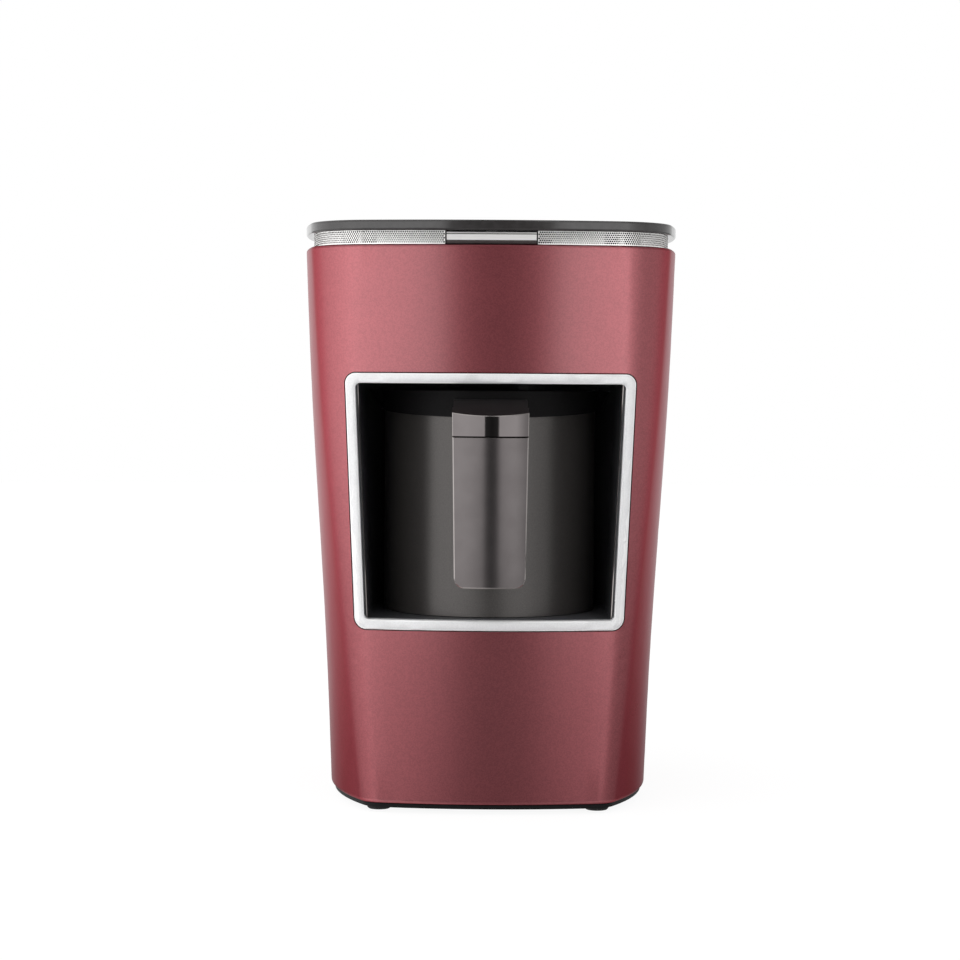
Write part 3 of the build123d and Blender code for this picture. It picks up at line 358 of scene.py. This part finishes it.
nodeFinish = {
    "metallicRedLacquer": ["outer_shell"],
    "satinSilverPaint": ["window_bezel"],
    "paintedLightLinerAbs": ["chamber_liner"],
    "polishedGreyAbs": ["top_plate"],
    "punchedStainless": ["vent_band"],
    "brushedAluminium": ["start_button"],
    "satinBlackPhenolic": ["pot_collar"],
    "pewterPotCoating": ["pot_body"],
    "satinMetallisedAbs": ["handle_face"],
    "glossMetallisedAbs": ["handle_cap"],
    "texturedBlackPp": ["base_plate", "pot_cover", "handle_core", "cord_gland", "gland_nut"],
    "blackRubber": ["foot_front_left", "foot_front_right", "foot_rear_left", "foot_rear_right"],
    "blackNylon": ["chassis", "top_carrier", "button_guide", "steam_duct", "sensor_housing",
                   "socket_housing", "plug_housing"],
    "greenFr4": ["control_board", "power_board"],
    "blackEpoxy": ["start_switch", "buzzer", "controller_chip", "relay", "capacitor"],
    "yellowPolyester": ["transformer"],
    "greenPolyamide": ["terminal_block"],
    "greyPvc": ["sensor_cable", "control_harness", "socket_leads"],
    "redSilicone": ["pot_seal"],
    "brightBrass": ["socket_contacts", "plug_pins"],
    "zincPlatedSteel": ["shell_screws", "chassis_screws", "plate_screws", "power_board_screws",
                  "control_board_screws", "carrier_screws", "pot_cover_screws", "handle_screws"],
    "rolledAluminium": ["heater_plate"],
    "plainSteel": ["heating_element", "pot_thermostat"],
    "clearPolycarbonate": ["sensor_lens"],
}
for finish, names in nodeFinish.items():
    for name in names:
        for slot in nodes[name].material_slots:
            slot.material = finishes[finish]
print("finishes set")


# a new piece in a CAD node's place, riding on its body
def seatPiece(name, mesh, body, source):
    piece = bpy.data.objects.new(name, mesh)
    bpy.context.scene.collection.objects.link(piece)
    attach(piece, body)
    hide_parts(source)


ventBand = {
    "holePitch": 0.9 * mm,
    "rowPitch": 0.815 * mm,
    "holeRadius": 0.4 * mm,
    "holeCorners": 8,
    "rows": 6,
    "firstRow": 5.03 * mm,   # over the strip's lower edge
    "gapCells": 21,          # half the gap for the button, in holes
    "gapSill": 3.8 * mm,     # over the strip's lower edge
    "sheet": 0.12 * mm,
    "cellMerge": 0.02 * mm,  # neighbouring cells' corners become one
    "sheetMerge": 0.005 * mm,
    "startClear": 1.5 * mm,  # the outline keeps no point so near its start
    "stepClear": 0.3 * mm,   # nor any so near the point before it
    "crease": 35,            # degrees from which an edge stays sharp
}


# outline of the band at one level, started at the middle of the rear and run anticlockwise
def ringCurve(name, level, v=ventBand):
    places = [p.co.xy for p in nodes["vent_band"].data.vertices if abs(p.co.z - level) < same]
    hull = [places[i] for i in geometry.convex_hull_2d(places)]
    rear = Vector((0, max(p.y for p in hull)))
    middle = Vector((0, sum(p.y for p in hull) / len(hull)))
    turnOf = lambda p: (math.atan2(p.y - middle.y, p.x) - math.pi / 2) % (2 * math.pi)
    ordered = [rear] + sorted((p for p in hull if (p - rear).length > v["startClear"]), key=turnOf)
    kept = [p for i, p in enumerate(ordered) if i == 0 or (p - ordered[i - 1]).length > v["stepClear"]]
    curve = bpy.data.curves.new(name, "CURVE")
    curve.dimensions = "3D"
    line = curve.splines.new("POLY")
    line.points.add(len(kept) - 1)
    for point, place in zip(line.points, kept):
        point.co = (place.x, place.y, level, 1)
    line.use_cyclic_u = True
    return bpy.data.objects.new(name, curve)


# punched strip: hexagon cells with a hole each, laid flat, trimmed to straight borders,
# wrapped round the ring and thickened
def buildPunchedTree(v=ventBand):
    tree = bpy.data.node_groups.new("punchedStrip", "GeometryNodeTree")
    tree.interface.new_socket("Strip", in_out="OUTPUT", socket_type="NodeSocketGeometry")
    wanted = {"Ring": "Object", "Columns": "Int", "Rows": "Int", "Row Pitch": "Float",
              "Hole Radius": "Float", "First Row": "Float", "Gap Cells": "Int", "Gap Sill": "Float",
              "Height": "Float", "Lean": "Float", "Sheet": "Float", "Finish": "Material"}
    for label, kind in wanted.items():
        tree.interface.new_socket(label, in_out="INPUT", socket_type="NodeSocket" + kind)
    size = addNode(tree, "NodeGroupInput").outputs
    place = addNode(tree, "ShaderNodeSeparateXYZ", {0: addNode(tree, "GeometryNodeInputPosition")}).outputs

    found = addNode(tree, "GeometryNodeObjectInfo", {"Object": size["Ring"]})
    smooth = addNode(tree, "GeometryNodeCurveSplineType", {"Curve": found.outputs["Geometry"]},
                     spline_type="CATMULL_ROM")
    ring = addNode(tree, "GeometryNodeSetSplineResolution", {"Geometry": smooth, "Resolution": 6})
    around = addNode(tree, "GeometryNodeCurveLength", {0: ring})
    pitch = addNode(tree, "ShaderNodeMath", {0: around, 1: size["Columns"]}, operation="DIVIDE")
    halfPitch = addNode(tree, "ShaderNodeMath", {0: pitch, 1: 0.5}, operation="MULTIPLY")

    # one cell, its hexagon stretched to the two pitches
    corner = addNode(tree, "GeometryNodeCurvePrimitiveCircle", {"Resolution": 6, "Radius": 1.0})
    turned = addNode(tree, "GeometryNodeTransform", {0: corner, "Rotation": (0, 0, math.radians(30))})
    wide = addNode(tree, "ShaderNodeMath", {0: pitch, 1: math.sqrt(3)}, operation="DIVIDE")
    tall = addNode(tree, "ShaderNodeMath", {0: size["Row Pitch"], 1: 2 / 3}, operation="MULTIPLY")
    stretch = addNode(tree, "ShaderNodeCombineXYZ", {0: wide, 1: tall, 2: 1.0})
    hexagon = addNode(tree, "GeometryNodeTransform", {0: turned, "Scale": stretch})
    hole = addNode(tree, "GeometryNodeCurvePrimitiveCircle",
                   {"Resolution": v["holeCorners"], "Radius": size["Hole Radius"]})
    outlines = addNode(tree, "GeometryNodeJoinGeometry", {0: [hexagon, hole]})
    filled = addNode(tree, "GeometryNodeFillCurve", {"Curve": outlines}, mode="TRIANGLES")
    reach = addNode(tree, "ShaderNodeVectorMath", {0: addNode(tree, "GeometryNodeInputPosition")},
                    operation="LENGTH").outputs["Value"]
    # the hexagon's corners lie further out than this, the hole's nearer in
    bound = addNode(tree, "ShaderNodeMath", {0: size["Hole Radius"], 1: 1.3}, operation="MULTIPLY")
    isCorner = addNode(tree, "ShaderNodeMath", {0: reach, 1: bound}, operation="GREATER_THAN")
    cell = addNode(tree, "GeometryNodeStoreNamedAttribute", {0: filled, "Name": "corner", "Value": isCorner},
                   data_type="FLOAT", domain="POINT")

    # a staggered lattice of cells, with a gap in the middle for the button
    gap = addNode(tree, "ShaderNodeMath", {0: pitch, 1: size["Gap Cells"]}, operation="MULTIPLY")
    across = addNode(tree, "ShaderNodeMath", {0: around, 1: pitch}, operation="SUBTRACT")
    rowsLess = addNode(tree, "ShaderNodeMath", {0: size["Rows"], 1: 1.0}, operation="SUBTRACT")
    upward = addNode(tree, "ShaderNodeMath", {0: rowsLess, 1: size["Row Pitch"]}, operation="MULTIPLY")
    lattice = addNode(tree, "GeometryNodeMeshGrid", {
        "Size X": across, "Size Y": upward, "Vertices X": size["Columns"], "Vertices Y": size["Rows"]})
    halfUp = addNode(tree, "ShaderNodeMath", {0: upward, 1: 0.5}, operation="MULTIPLY")
    lift = addNode(tree, "ShaderNodeMath", {0: halfUp, 1: size["First Row"]})
    liftBy = addNode(tree, "ShaderNodeCombineXYZ", {1: lift})
    raised = addNode(tree, "GeometryNodeTransform", {0: lattice, "Translation": liftBy})
    overFirst = addNode(tree, "ShaderNodeMath", {0: place[1], 1: size["First Row"]}, operation="SUBTRACT")
    rowShare = addNode(tree, "ShaderNodeMath", {0: overFirst, 1: size["Row Pitch"]}, operation="DIVIDE")
    row = addNode(tree, "ShaderNodeMath", {0: rowShare}, operation="ROUND")
    odd = addNode(tree, "ShaderNodeMath", {0: row, 1: 2.0}, operation="MODULO")
    shift = addNode(tree, "ShaderNodeMath", {0: odd, 1: halfPitch}, operation="MULTIPLY")
    shiftBy = addNode(tree, "ShaderNodeCombineXYZ", {0: shift})
    staggered = addNode(tree, "GeometryNodeSetPosition", {0: raised, "Offset": shiftBy})
    aside = addNode(tree, "ShaderNodeMath", {0: place[0]}, operation="ABSOLUTE")
    gapHalfCell = addNode(tree, "ShaderNodeMath", {0: halfPitch, 1: 0.5, 2: gap}, operation="MULTIPLY_ADD")
    inGap = addNode(tree, "FunctionNodeCompare", {0: aside, 1: gapHalfCell}, operation="LESS_THAN")
    centres = addNode(tree, "GeometryNodeDeleteGeometry", {0: staggered, 1: inGap}, domain="POINT")
    cells = addNode(tree, "GeometryNodeInstanceOnPoints", {0: centres, "Instance": cell})
    solidCells = addNode(tree, "GeometryNodeRealizeInstances", {0: cells})
    mesh = addNode(tree, "GeometryNodeMergeByDistance", {0: solidCells, "Distance": v["cellMerge"]})

    # straight borders: lower and upper edge, and the two sides of the gap
    quarterRow = addNode(tree, "ShaderNodeMath", {0: size["Row Pitch"], 1: 0.25}, operation="MULTIPLY")
    lowBound = addNode(tree, "ShaderNodeMath", {0: size["First Row"], 1: quarterRow}, operation="SUBTRACT")
    lastRow = addNode(tree, "ShaderNodeMath", {0: size["First Row"], 1: upward})
    highBound = addNode(tree, "ShaderNodeMath", {0: lastRow, 1: quarterRow})
    isLow = addNode(tree, "FunctionNodeCompare", {0: place[1], 1: lowBound}, operation="LESS_THAN")
    isHigh = addNode(tree, "FunctionNodeCompare", {0: place[1], 1: highBound}, operation="GREATER_THAN")
    gapBound = addNode(tree, "ShaderNodeMath", {0: halfPitch, 1: 1.5, 2: gap}, operation="MULTIPLY_ADD")
    isNear = addNode(tree, "FunctionNodeCompare", {0: aside, 1: gapBound}, operation="LESS_THAN")
    isSide = addNode(tree, "FunctionNodeBooleanMath", {0: isNear, 1: isLow}, operation="NIMPLY")
    side = addNode(tree, "ShaderNodeMath", {0: place[0]}, operation="SIGN")
    sideX = addNode(tree, "ShaderNodeMath", {0: side, 1: gap}, operation="MULTIPLY")
    trimX = addNode(tree, "GeometryNodeSwitch", {0: isSide, 1: place[0], 2: sideX}, input_type="FLOAT")
    trimHigh = addNode(tree, "GeometryNodeSwitch", {0: isHigh, 1: place[1], 2: size["Height"]},
                       input_type="FLOAT")
    trimY = addNode(tree, "GeometryNodeSwitch", {0: isLow, 1: trimHigh, 2: size["Gap Sill"]},
                    input_type="FLOAT")
    trimmed = addNode(tree, "ShaderNodeCombineXYZ", {0: trimX, 1: trimY})
    isRim = addNode(tree, "GeometryNodeInputNamedAttribute", {"Name": "corner"}, data_type="FLOAT")
    rimOnly = addNode(tree, "FunctionNodeCompare", {0: isRim, 1: 0.5}, operation="GREATER_THAN")
    straight = addNode(tree, "GeometryNodeSetPosition", {0: mesh, 1: rimOnly, "Position": trimmed})

    # the plain strip under the holes
    twice = addNode(tree, "ShaderNodeMath", {0: size["Columns"], 1: 2.0, 2: 1.0}, operation="MULTIPLY_ADD")
    plain = addNode(tree, "GeometryNodeMeshGrid", {
        "Size X": around, "Size Y": size["Gap Sill"], "Vertices X": twice, "Vertices Y": 2})
    halfSill = addNode(tree, "ShaderNodeMath", {0: size["Gap Sill"], 1: 0.5}, operation="MULTIPLY")
    sillBy = addNode(tree, "ShaderNodeCombineXYZ", {1: halfSill})
    plainUp = addNode(tree, "GeometryNodeTransform", {0: plain, "Translation": sillBy})
    strip = addNode(tree, "GeometryNodeJoinGeometry", {0: [straight, plainUp]})
    flat = addNode(tree, "GeometryNodeMergeByDistance", {0: strip, "Distance": v["cellMerge"]})

    # wrapped round the ring, leaning out as the housing does
    turn = addNode(tree, "ShaderNodeMath", {0: place[0], 1: around}, operation="DIVIDE")
    late = addNode(tree, "ShaderNodeMath", {0: turn, 1: 0.5})
    share = addNode(tree, "ShaderNodeMath", {0: late}, operation="FRACT")
    spot = addNode(tree, "GeometryNodeSampleCurve", {"Curves": ring, "Factor": share}, mode="FACTOR")
    outward = addNode(tree, "ShaderNodeVectorMath", {0: spot.outputs["Tangent"], 1: (0, 0, 1)},
                      operation="CROSS_PRODUCT")
    leaning = addNode(tree, "ShaderNodeMath", {0: place[1], 1: size["Lean"]}, operation="MULTIPLY")
    leanBy = addNode(tree, "ShaderNodeVectorMath", {0: outward, "Scale": leaning}, operation="SCALE")
    onRing = addNode(tree, "ShaderNodeVectorMath", {0: spot.outputs["Position"], 1: leanBy})
    climb = addNode(tree, "ShaderNodeCombineXYZ", {2: place[1]})
    wrappedTo = addNode(tree, "ShaderNodeVectorMath", {0: onRing, 1: climb})
    wrapped = addNode(tree, "GeometryNodeSetPosition", {0: flat, "Position": wrappedTo})
    skin = addNode(tree, "GeometryNodeMergeByDistance", {0: wrapped, "Distance": v["cellMerge"]})

    # the sheet's thickness goes inwards
    inner = addNode(tree, "GeometryNodeFlipFaces", {0: skin})
    wall = addNode(tree, "GeometryNodeExtrudeMesh",
                   {0: inner, "Offset Scale": size["Sheet"], "Individual": False})
    both = addNode(tree, "GeometryNodeJoinGeometry", {0: [skin, wall]})
    closed = addNode(tree, "GeometryNodeMergeByDistance", {0: both, "Distance": v["sheetMerge"]})
    real = addNode(tree, "GeometryNodeRealizeInstances", {0: closed})
    painted = addNode(tree, "GeometryNodeSetMaterial", {0: real, "Material": size["Finish"]})
    addNode(tree, "NodeGroupOutput", {0: painted})
    return tree


# runs a tree with its named inputs and returns the plain mesh it makes
def growMesh(name, tree, values):
    carrier = bpy.data.objects.new(name + "Carrier", bpy.data.meshes.new(name + "Seed"))
    bpy.context.scene.collection.objects.link(carrier)
    modifier = carrier.modifiers.new("grow", "NODES")
    modifier.node_group = tree
    for item in tree.interface.items_tree:
        if item.in_out == "INPUT":
            modifier[item.identifier] = values[item.name]
    mesh = bpy.data.meshes.new_from_object(carrier.evaluated_get(bpy.context.evaluated_depsgraph_get()))
    mesh.name = name
    carrier.modifiers.remove(modifier)
    bpy.data.objects.remove(carrier)
    return mesh


def makeVentBand(v=ventBand):
    heights = [p.co.z for p in nodes["vent_band"].data.vertices]
    low, high = min(heights), max(heights)
    halfWidth = lambda level: max(p.co.x for p in nodes["vent_band"].data.vertices
                                  if abs(p.co.z - level) < same)
    ring = ringCurve("bandRing", low)
    bpy.context.scene.collection.objects.link(ring)
    places = [p.co.copy() for p in ring.data.splines[0].points]
    around = sum((p - places[i - 1]).length for i, p in enumerate(places))
    values = {
        "Ring": ring,
        "Columns": 2 * round(around / v["holePitch"] / 2),
        "Rows": v["rows"],
        "Row Pitch": v["rowPitch"],
        "Hole Radius": v["holeRadius"],
        "First Row": v["firstRow"],
        "Gap Cells": v["gapCells"],
        "Gap Sill": v["gapSill"],
        "Height": high - low,
        "Lean": (halfWidth(high) - halfWidth(low)) / (high - low),
        "Sheet": v["sheet"],
        "Finish": finishes["punchedStainless"],
    }
    mesh = growMesh("perforatedBand", buildPunchedTree(), values)
    bpy.data.objects.remove(ring)
    if "corner" in mesh.attributes:
        mesh.attributes.remove(mesh.attributes["corner"])
    mesh.shade_smooth()
    mesh.set_sharp_from_angle(angle=math.radians(v["crease"]))
    seatPiece("perforatedBand", mesh, "housing", "vent_band")
    print("vent band:", len(mesh.polygons), "faces")


makeVentBand()


nodeCopy = {
    "weld": 0.002 * mm,      # corners this close become one
    "flat": 0.1,             # degrees under which neighbouring faces become one
    "crease": 28,            # degrees from which an edge stays sharp
    "blend": 6,              # degrees over which the CAD's normals are averaged
    "ahead": 0.7,            # a face whose normal points forward by more than this looks ahead
}


# a node's mesh, welded, so that its edges can carry a finish of their own
def weldNode(source, flatten=True, v=nodeCopy):
    shape = bmesh.new()
    shape.from_mesh(nodes[source].data)
    bmesh.ops.remove_doubles(shape, verts=shape.verts, dist=v["weld"])
    if flatten:
        bmesh.ops.dissolve_limit(shape, angle_limit=math.radians(v["flat"]),
                                 verts=shape.verts, edges=shape.edges)
    for face in shape.faces:
        face.material_index = 0
    return shape


# whether an edge turns by so many degrees beside a face that looks ahead
def isFrontCorner(edge, degrees, v=nodeCopy):
    turns = edge.calc_face_angle(0) > math.radians(degrees)
    return turns and any(-face.normal.y > v["ahead"] for face in edge.link_faces)


def closeShape(shape, name, looks, v=nodeCopy):
    mesh = bpy.data.meshes.new(name)
    shape.to_mesh(mesh)
    shape.free()
    for look in looks:
        mesh.materials.append(finishes[look])
    mesh.shade_smooth()
    mesh.set_sharp_from_angle(angle=math.radians(v["crease"]))
    return mesh


# each corner of a copy takes the mean of the CAD's own normals there, which smooths creases of a few degrees
def shadeLike(mesh, source, v=nodeCopy):
    data = nodes[source].data
    tree = kdtree.KDTree(len(data.vertices))
    for i, vertex in enumerate(data.vertices):
        tree.insert(vertex.co, i)
    tree.balance()
    known = [[] for vertex in data.vertices]
    for loop, corner in zip(data.loops, data.corner_normals):
        known[loop.vertex_index].append(corner.vector.copy())
    around = [[n for at, i, far in tree.find_range(vertex.co, same) for n in known[i]]
              for vertex in mesh.vertices]
    normals = []
    for face in mesh.polygons:
        for corner in face.vertices:
            own = max(around[corner], key=face.normal.dot)
            near = [n for n in around[corner] if n.dot(own) > math.cos(math.radians(v["blend"]))]
            normals.append(tuple(sum(near, Vector()).normalized()))
    mesh.normals_split_custom_set(normals)


# red body: one smooth sweep of lacquer round its corners
def makeShell():
    mesh = closeShape(weldNode("outer_shell", flatten=False), "lacquerShell", ["metallicRedLacquer"])
    shadeLike(mesh, "outer_shell")
    seatPiece("lacquerShell", mesh, "housing", "outer_shell")


bezelTrim = {
    "bevel": (0.45, 0.9),    # how far forward a bevel's normal points
    "inward": 0.1,           # and how far sideways an inner upright one's does
}


# silver window frame: its narrow bevels, but for the inner upright ones, are drawn smoother and whiter than
# its face, a painted highlight
def makeBezel(v=bezelTrim):
    shape = weldNode("window_bezel", flatten=False)
    for face in shape.faces:
        middle = face.calc_center_median()
        bevel = v["bevel"][0] < -face.normal.y < v["bevel"][1]
        inward = face.normal.x * middle.x < -v["inward"] * abs(middle.x)
        face.material_index = 1 if bevel and not inward else 0
    mesh = closeShape(shape, "silverBezel", ["satinSilverPaint", "bevelHighlightSilver"])
    seatPiece("silverBezel", mesh, "housing", "window_bezel")


handleTrim = {
    "edge": 0.28 * mm,
    "corner": 50,            # degrees from which an edge is cut
    "crown": 34 * mm,        # radius of the front, seen from above
    "seam": -88.5 * mm,      # edges of the cap ahead of this are cut
    "join": 0.6 * mm,        # but not those this near the plate
    "front": 0.86,           # a normal that points forward by more than this is the front's
    "upright": 0.05,         # and up or down by less than this
    "slant": 0.45,           # one between this and the front's is a cut edge's
    "top": 0.6,              # one that points up by more than this is the arm's top
}


# corners on the crowned front get the true normals of that crown, the others their face's own
def shadeCrown(mesh, v=handleTrim):
    normals = [None] * len(mesh.loops)
    for face in mesh.polygons:
        upright = abs(face.normal.z) < v["upright"]
        crowned = -face.normal.y > v["front"] and upright and face.material_index == 0
        for loop in face.loop_indices:
            place = mesh.vertices[mesh.loops[loop].vertex_index].co
            lean = place.x / v["crown"]
            normals[loop] = (lean, -math.sqrt(1 - lean * lean), 0.0) if crowned else tuple(face.normal)
    mesh.normals_split_custom_set(normals)


# handle plate and cap: metallised dark grey, their cut edges drawn in a paler copy as a painted highlight,
# the arm's up-facing top drawn black as painted shade
def makeHandle(v=handleTrim):
    shape = weldNode("handle_face")
    split = max(p.co.z for p in shape.verts)
    top = [e for e in shape.edges
           if isFrontCorner(e, v["corner"]) and all(p.co.z > split - same for p in e.verts)]
    # painted highlight: the cut top edges, and faces slanting between front and side, take the paler edge
    # finish
    bmesh.ops.bevel(shape, geom=top, offset=v["edge"], segments=1, affect="EDGES", material=1)
    shape.normal_update()
    for face in shape.faces:
        if v["slant"] < -face.normal.y < v["front"]:
            face.material_index = 1
    plate = closeShape(shape, "handlePlate", ["satinMetallisedAbs", "edgeHighlightMetallised"])
    shadeCrown(plate)
    seatPiece("handlePlate", plate, "pot", "handle_face")
    shape = weldNode("handle_cap")
    cut = [e for e in shape.edges
           if isFrontCorner(e, v["corner"]) and all(p.co.y < v["seam"] for p in e.verts)
           and not all(p.co.z < split + v["join"] for p in e.verts)]
    # painted highlight: the cap's cut front edges take the paler edge finish
    bmesh.ops.bevel(shape, geom=cut, offset=v["edge"], segments=1, affect="EDGES", material=1)
    shape.normal_update()
    # painted shade: the arm's up-facing top is drawn black, standing in for the dark it mirrors
    for face in shape.faces:
        if face.material_index == 0 and face.normal.z > v["top"]:
            face.material_index = 2
    cap = closeShape(shape, "handleCap", ["glossMetallisedAbs", "edgeHighlightMetallised", "satinBlackPhenolic"])
    shadeCrown(cap)
    seatPiece("handleCap", cap, "pot", "handle_cap")
    print("handle:", len(top), "and", len(cut), "edges cut")


buttonTrim = {
    "lip": 1.5 * mm,         # depth of the front part whose top edge counts
    "seam": 0.5 * mm,        # from that edge down to the dark line
    "width": 0.42 * mm,
    "ahead": 0.3,            # a normal that points forward by more than this is the front's
    "under": 0.3,            # and down by more than this, the lower bevel's
}


# start bar: brushed face with a dark line along its top, its downward-facing lower bevel drawn dark grey
def makeButton(v=buttonTrim):
    shape = weldNode("start_button")
    ahead = min(p.co.y for p in shape.verts)
    high = max(p.co.z for p in shape.verts if p.co.y < ahead + v["lip"]) - v["seam"]
    low = high - v["width"]
    for level in (low, high):
        everything = shape.verts[:] + shape.edges[:] + shape.faces[:]
        bmesh.ops.bisect_plane(shape, geom=everything, plane_co=(0, 0, level), plane_no=(0, 0, 1))
    for face in shape.faces:
        facingDown = -face.normal.z > v["under"]
        line = low < face.calc_center_median().z < high
        face.material_index = 1 if -face.normal.y > v["ahead"] and (facingDown or line) else 0
    mesh = closeShape(shape, "startBar", ["brushedAluminium", "greyAbs"])
    seatPiece("startBar", mesh, "button", "start_button")


makeShell()
makeBezel()
makeHandle()
makeButton()


linerTrim = {
    "edge": 0.3 * mm,
    "corner": 60,            # degrees from which an edge is lined
    "aside": 40 * mm,        # only the two upright edges, this far from the middle
    "inward": 0.7,           # beside a face whose normal points to the middle by more than this
}


# black chamber wall: its upright front corners carry a thin paler line, a painted highlight
def makeLiner(v=linerTrim):
    shape = weldNode("chamber_liner")
    rims = [e for e in shape.edges
            if isFrontCorner(e, v["corner"]) and all(abs(p.co.x) > v["aside"] for p in e.verts)
            and any(f.normal.x * e.verts[0].co.x < 0 and abs(f.normal.x) > v["inward"]
                    for f in e.link_faces)]
    bmesh.ops.bevel(shape, geom=rims, offset=v["edge"], segments=1, affect="EDGES", material=1)
    mesh = closeShape(shape, "chamberLiner", ["paintedLightLinerAbs", "edgeHighlightMetallised"])
    seatPiece("chamberLiner", mesh, "housing", "chamber_liner")
    print("liner:", len(rims), "edges lined")


makeLiner()
print("pieces made")

studio = {
    "strength": 2.0,
    "backdrop": 1.0,
    "backdropReach": 3.0,
    "floorReach": 3.6,
    "floorGlow": 0.92,
    "floorTone": 0.12,
    "bounceReach": 1.5,
    "bounceDrop": 0.1 * mm,  # under the floor that the camera sees
    "bounceTone": 0.5,
    "horizon": (-8, -2),     # degrees of rise between which "aroundLow" gives way to "around"
    # degrees round from straight ahead towards +X, and the light from there
    "around": [(-180, 0.38), (-130, 0.68), (-80, 0.85), (-44, 1.05), (-25, 1.03), (-8, 0.88),
               (-7, 0.06), (2, 0.03), (11, 0.06), (12, 0.92), (22, 0.96), (36, 1.00), (50, 0.56),
               (70, 0.38), (130, 0.42), (180, 0.38)],
    "aroundLow": [(-180, 0.40), (-130, 0.95), (-80, 1.18), (-44, 1.15), (-30, 0.98), (-18, 0.60),
                  (-8, 0.36), (-2, 0.25), (8, 0.26), (15, 0.37), (26, 0.66), (40, 0.86), (60, 0.58),
                  (130, 0.55), (180, 0.40)],
    # degrees up from level, and how much of that light comes from there
    "upward": [(-90, 0.50), (-40, 0.75), (-24, 0.62), (-18, 0.36), (-12, 0.34), (-8, 0.76),
               (-4, 1.22), (1, 1.32), (6, 1.15), (14, 0.85), (45, 0.75), (90, 0.50)],
}


# soft boxes round the object, as light from each direction: bright shoulders, a dark gap ahead
def makeStudioLight(v=studio):
    world = bpy.data.worlds.new("studioLight")
    world.use_nodes = True
    tree = world.node_tree
    tree.nodes.clear()
    aim = addNode(tree, "ShaderNodeTexCoord").outputs["Generated"]
    parts = addNode(tree, "ShaderNodeSeparateXYZ", {0: aim}).outputs
    ahead = addNode(tree, "ShaderNodeMath", {0: parts[1], 1: -1.0}, operation="MULTIPLY")
    turn = addNode(tree, "ShaderNodeMath", {0: parts[0], 1: ahead}, operation="ARCTAN2")
    rise = addNode(tree, "ShaderNodeMath", {0: parts[2]}, operation="ARCSINE")
    levels = []
    for angle, half, stops in ((turn, math.pi, v["around"]), (turn, math.pi, v["aroundLow"]),
                               (rise, math.pi / 2, v["upward"])):
        share = addNode(tree, "ShaderNodeMapRange", {0: angle, 1: -half, 2: half})
        ramp = addNode(tree, "ShaderNodeValToRGB", {0: share})
        for i, (degrees, level) in enumerate(stops):
            at = (math.radians(degrees) + half) / (2 * half)
            if i < 2:
                stop = ramp.color_ramp.elements[i]
                stop.position = at
            else:
                stop = ramp.color_ramp.elements.new(at)
            stop.color = (level, level, level, 1)
        levels.append(ramp)
    low, high = (math.radians(degrees) for degrees in v["horizon"])
    above = addNode(tree, "ShaderNodeMapRange", {0: rise, 1: low, 2: high})
    sweep = addNode(tree, "ShaderNodeMix", {0: above, 2: levels[1], 3: levels[0]}, data_type="FLOAT")
    product = addNode(tree, "ShaderNodeMath", {0: sweep, 1: levels[2]}, operation="MULTIPLY")
    strength = addNode(tree, "ShaderNodeMath", {0: product, 1: v["strength"]}, operation="MULTIPLY")
    light = addNode(tree, "ShaderNodeBackground", {"Color": (1, 1, 1, 1), "Strength": strength})
    addNode(tree, "ShaderNodeOutputWorld", {0: light})
    bpy.context.scene.world = world


def stageMaterial(name, glow, tone):
    material, tree, place = startMaterial(name)
    diffuse = addNode(tree, "ShaderNodeBsdfDiffuse", {"Color": (tone, tone, tone, 1)})
    light = addNode(tree, "ShaderNodeEmission", {"Color": (1, 1, 1, 1), "Strength": glow})
    return closeMaterial(material, tree, addNode(tree, "ShaderNodeAddShader", {0: diffuse, 1: light}))


# the backdrop and the floor's glow are seen by the camera alone; a plain white floor bounces light
def addStage(name, builder, material, toCamera):
    mesh = bpy.data.meshes.new(name)
    shape = bmesh.new()
    builder(shape)
    shape.to_mesh(mesh)
    shape.free()
    mesh.materials.append(material)
    piece = bpy.data.objects.new(name, mesh)
    bpy.context.scene.collection.objects.link(piece)
    piece.visible_camera = toCamera
    piece.visible_diffuse = not toCamera
    piece.visible_glossy = False
    piece.visible_transmission = not toCamera
    piece.visible_shadow = not toCamera


def buildDisc(shape):
    bmesh.ops.create_circle(shape, cap_ends=True, segments=96, radius=studio["floorReach"])


def buildLowDisc(shape):
    bmesh.ops.create_circle(shape, cap_ends=True, segments=96, radius=studio["bounceReach"])
    bmesh.ops.translate(shape, verts=shape.verts, vec=(0, 0, -studio["bounceDrop"]))


def buildDome(shape):
    bmesh.ops.create_uvsphere(shape, u_segments=64, v_segments=32, radius=studio["backdropReach"])
    bmesh.ops.reverse_faces(shape, faces=shape.faces)


makeStudioLight()
paleFloor = stageMaterial("paleFloor", studio["floorGlow"], studio["floorTone"])
addStage("studioFloor", buildDisc, paleFloor, True)
addStage("studioDome", buildDome, stageMaterial("paleBackdrop", studio["backdrop"], 0.0), True)
addStage("bounceFloor", buildLowDisc, stageMaterial("whiteFloor", 0.0, studio["bounceTone"]), False)
bpy.context.scene.view_settings.view_transform = "Standard"

camera = {
    "place": (-4.1 * mm, -1020.0 * mm, 178.2 * mm),
    "lens": 87.83,           # in millimetres, on a film this wide
    "film": 36.0,
    "pitch": 2.445,          # degrees down
    "roll": 0.36,
}
eyeData = bpy.data.cameras.new("camera")
eyeData.lens = camera["lens"]
eyeData.sensor_width = camera["film"]
eye = bpy.data.objects.new("camera", eyeData)
eye.matrix_world = (Matrix.Translation(camera["place"])
                    @ Matrix.Rotation(math.radians(90 - camera["pitch"]), 4, "X")
                    @ Matrix.Rotation(math.radians(camera["roll"]), 4, "Z"))
bpy.context.scene.collection.objects.link(eye)
bpy.context.scene.camera = eye
print("studio set")
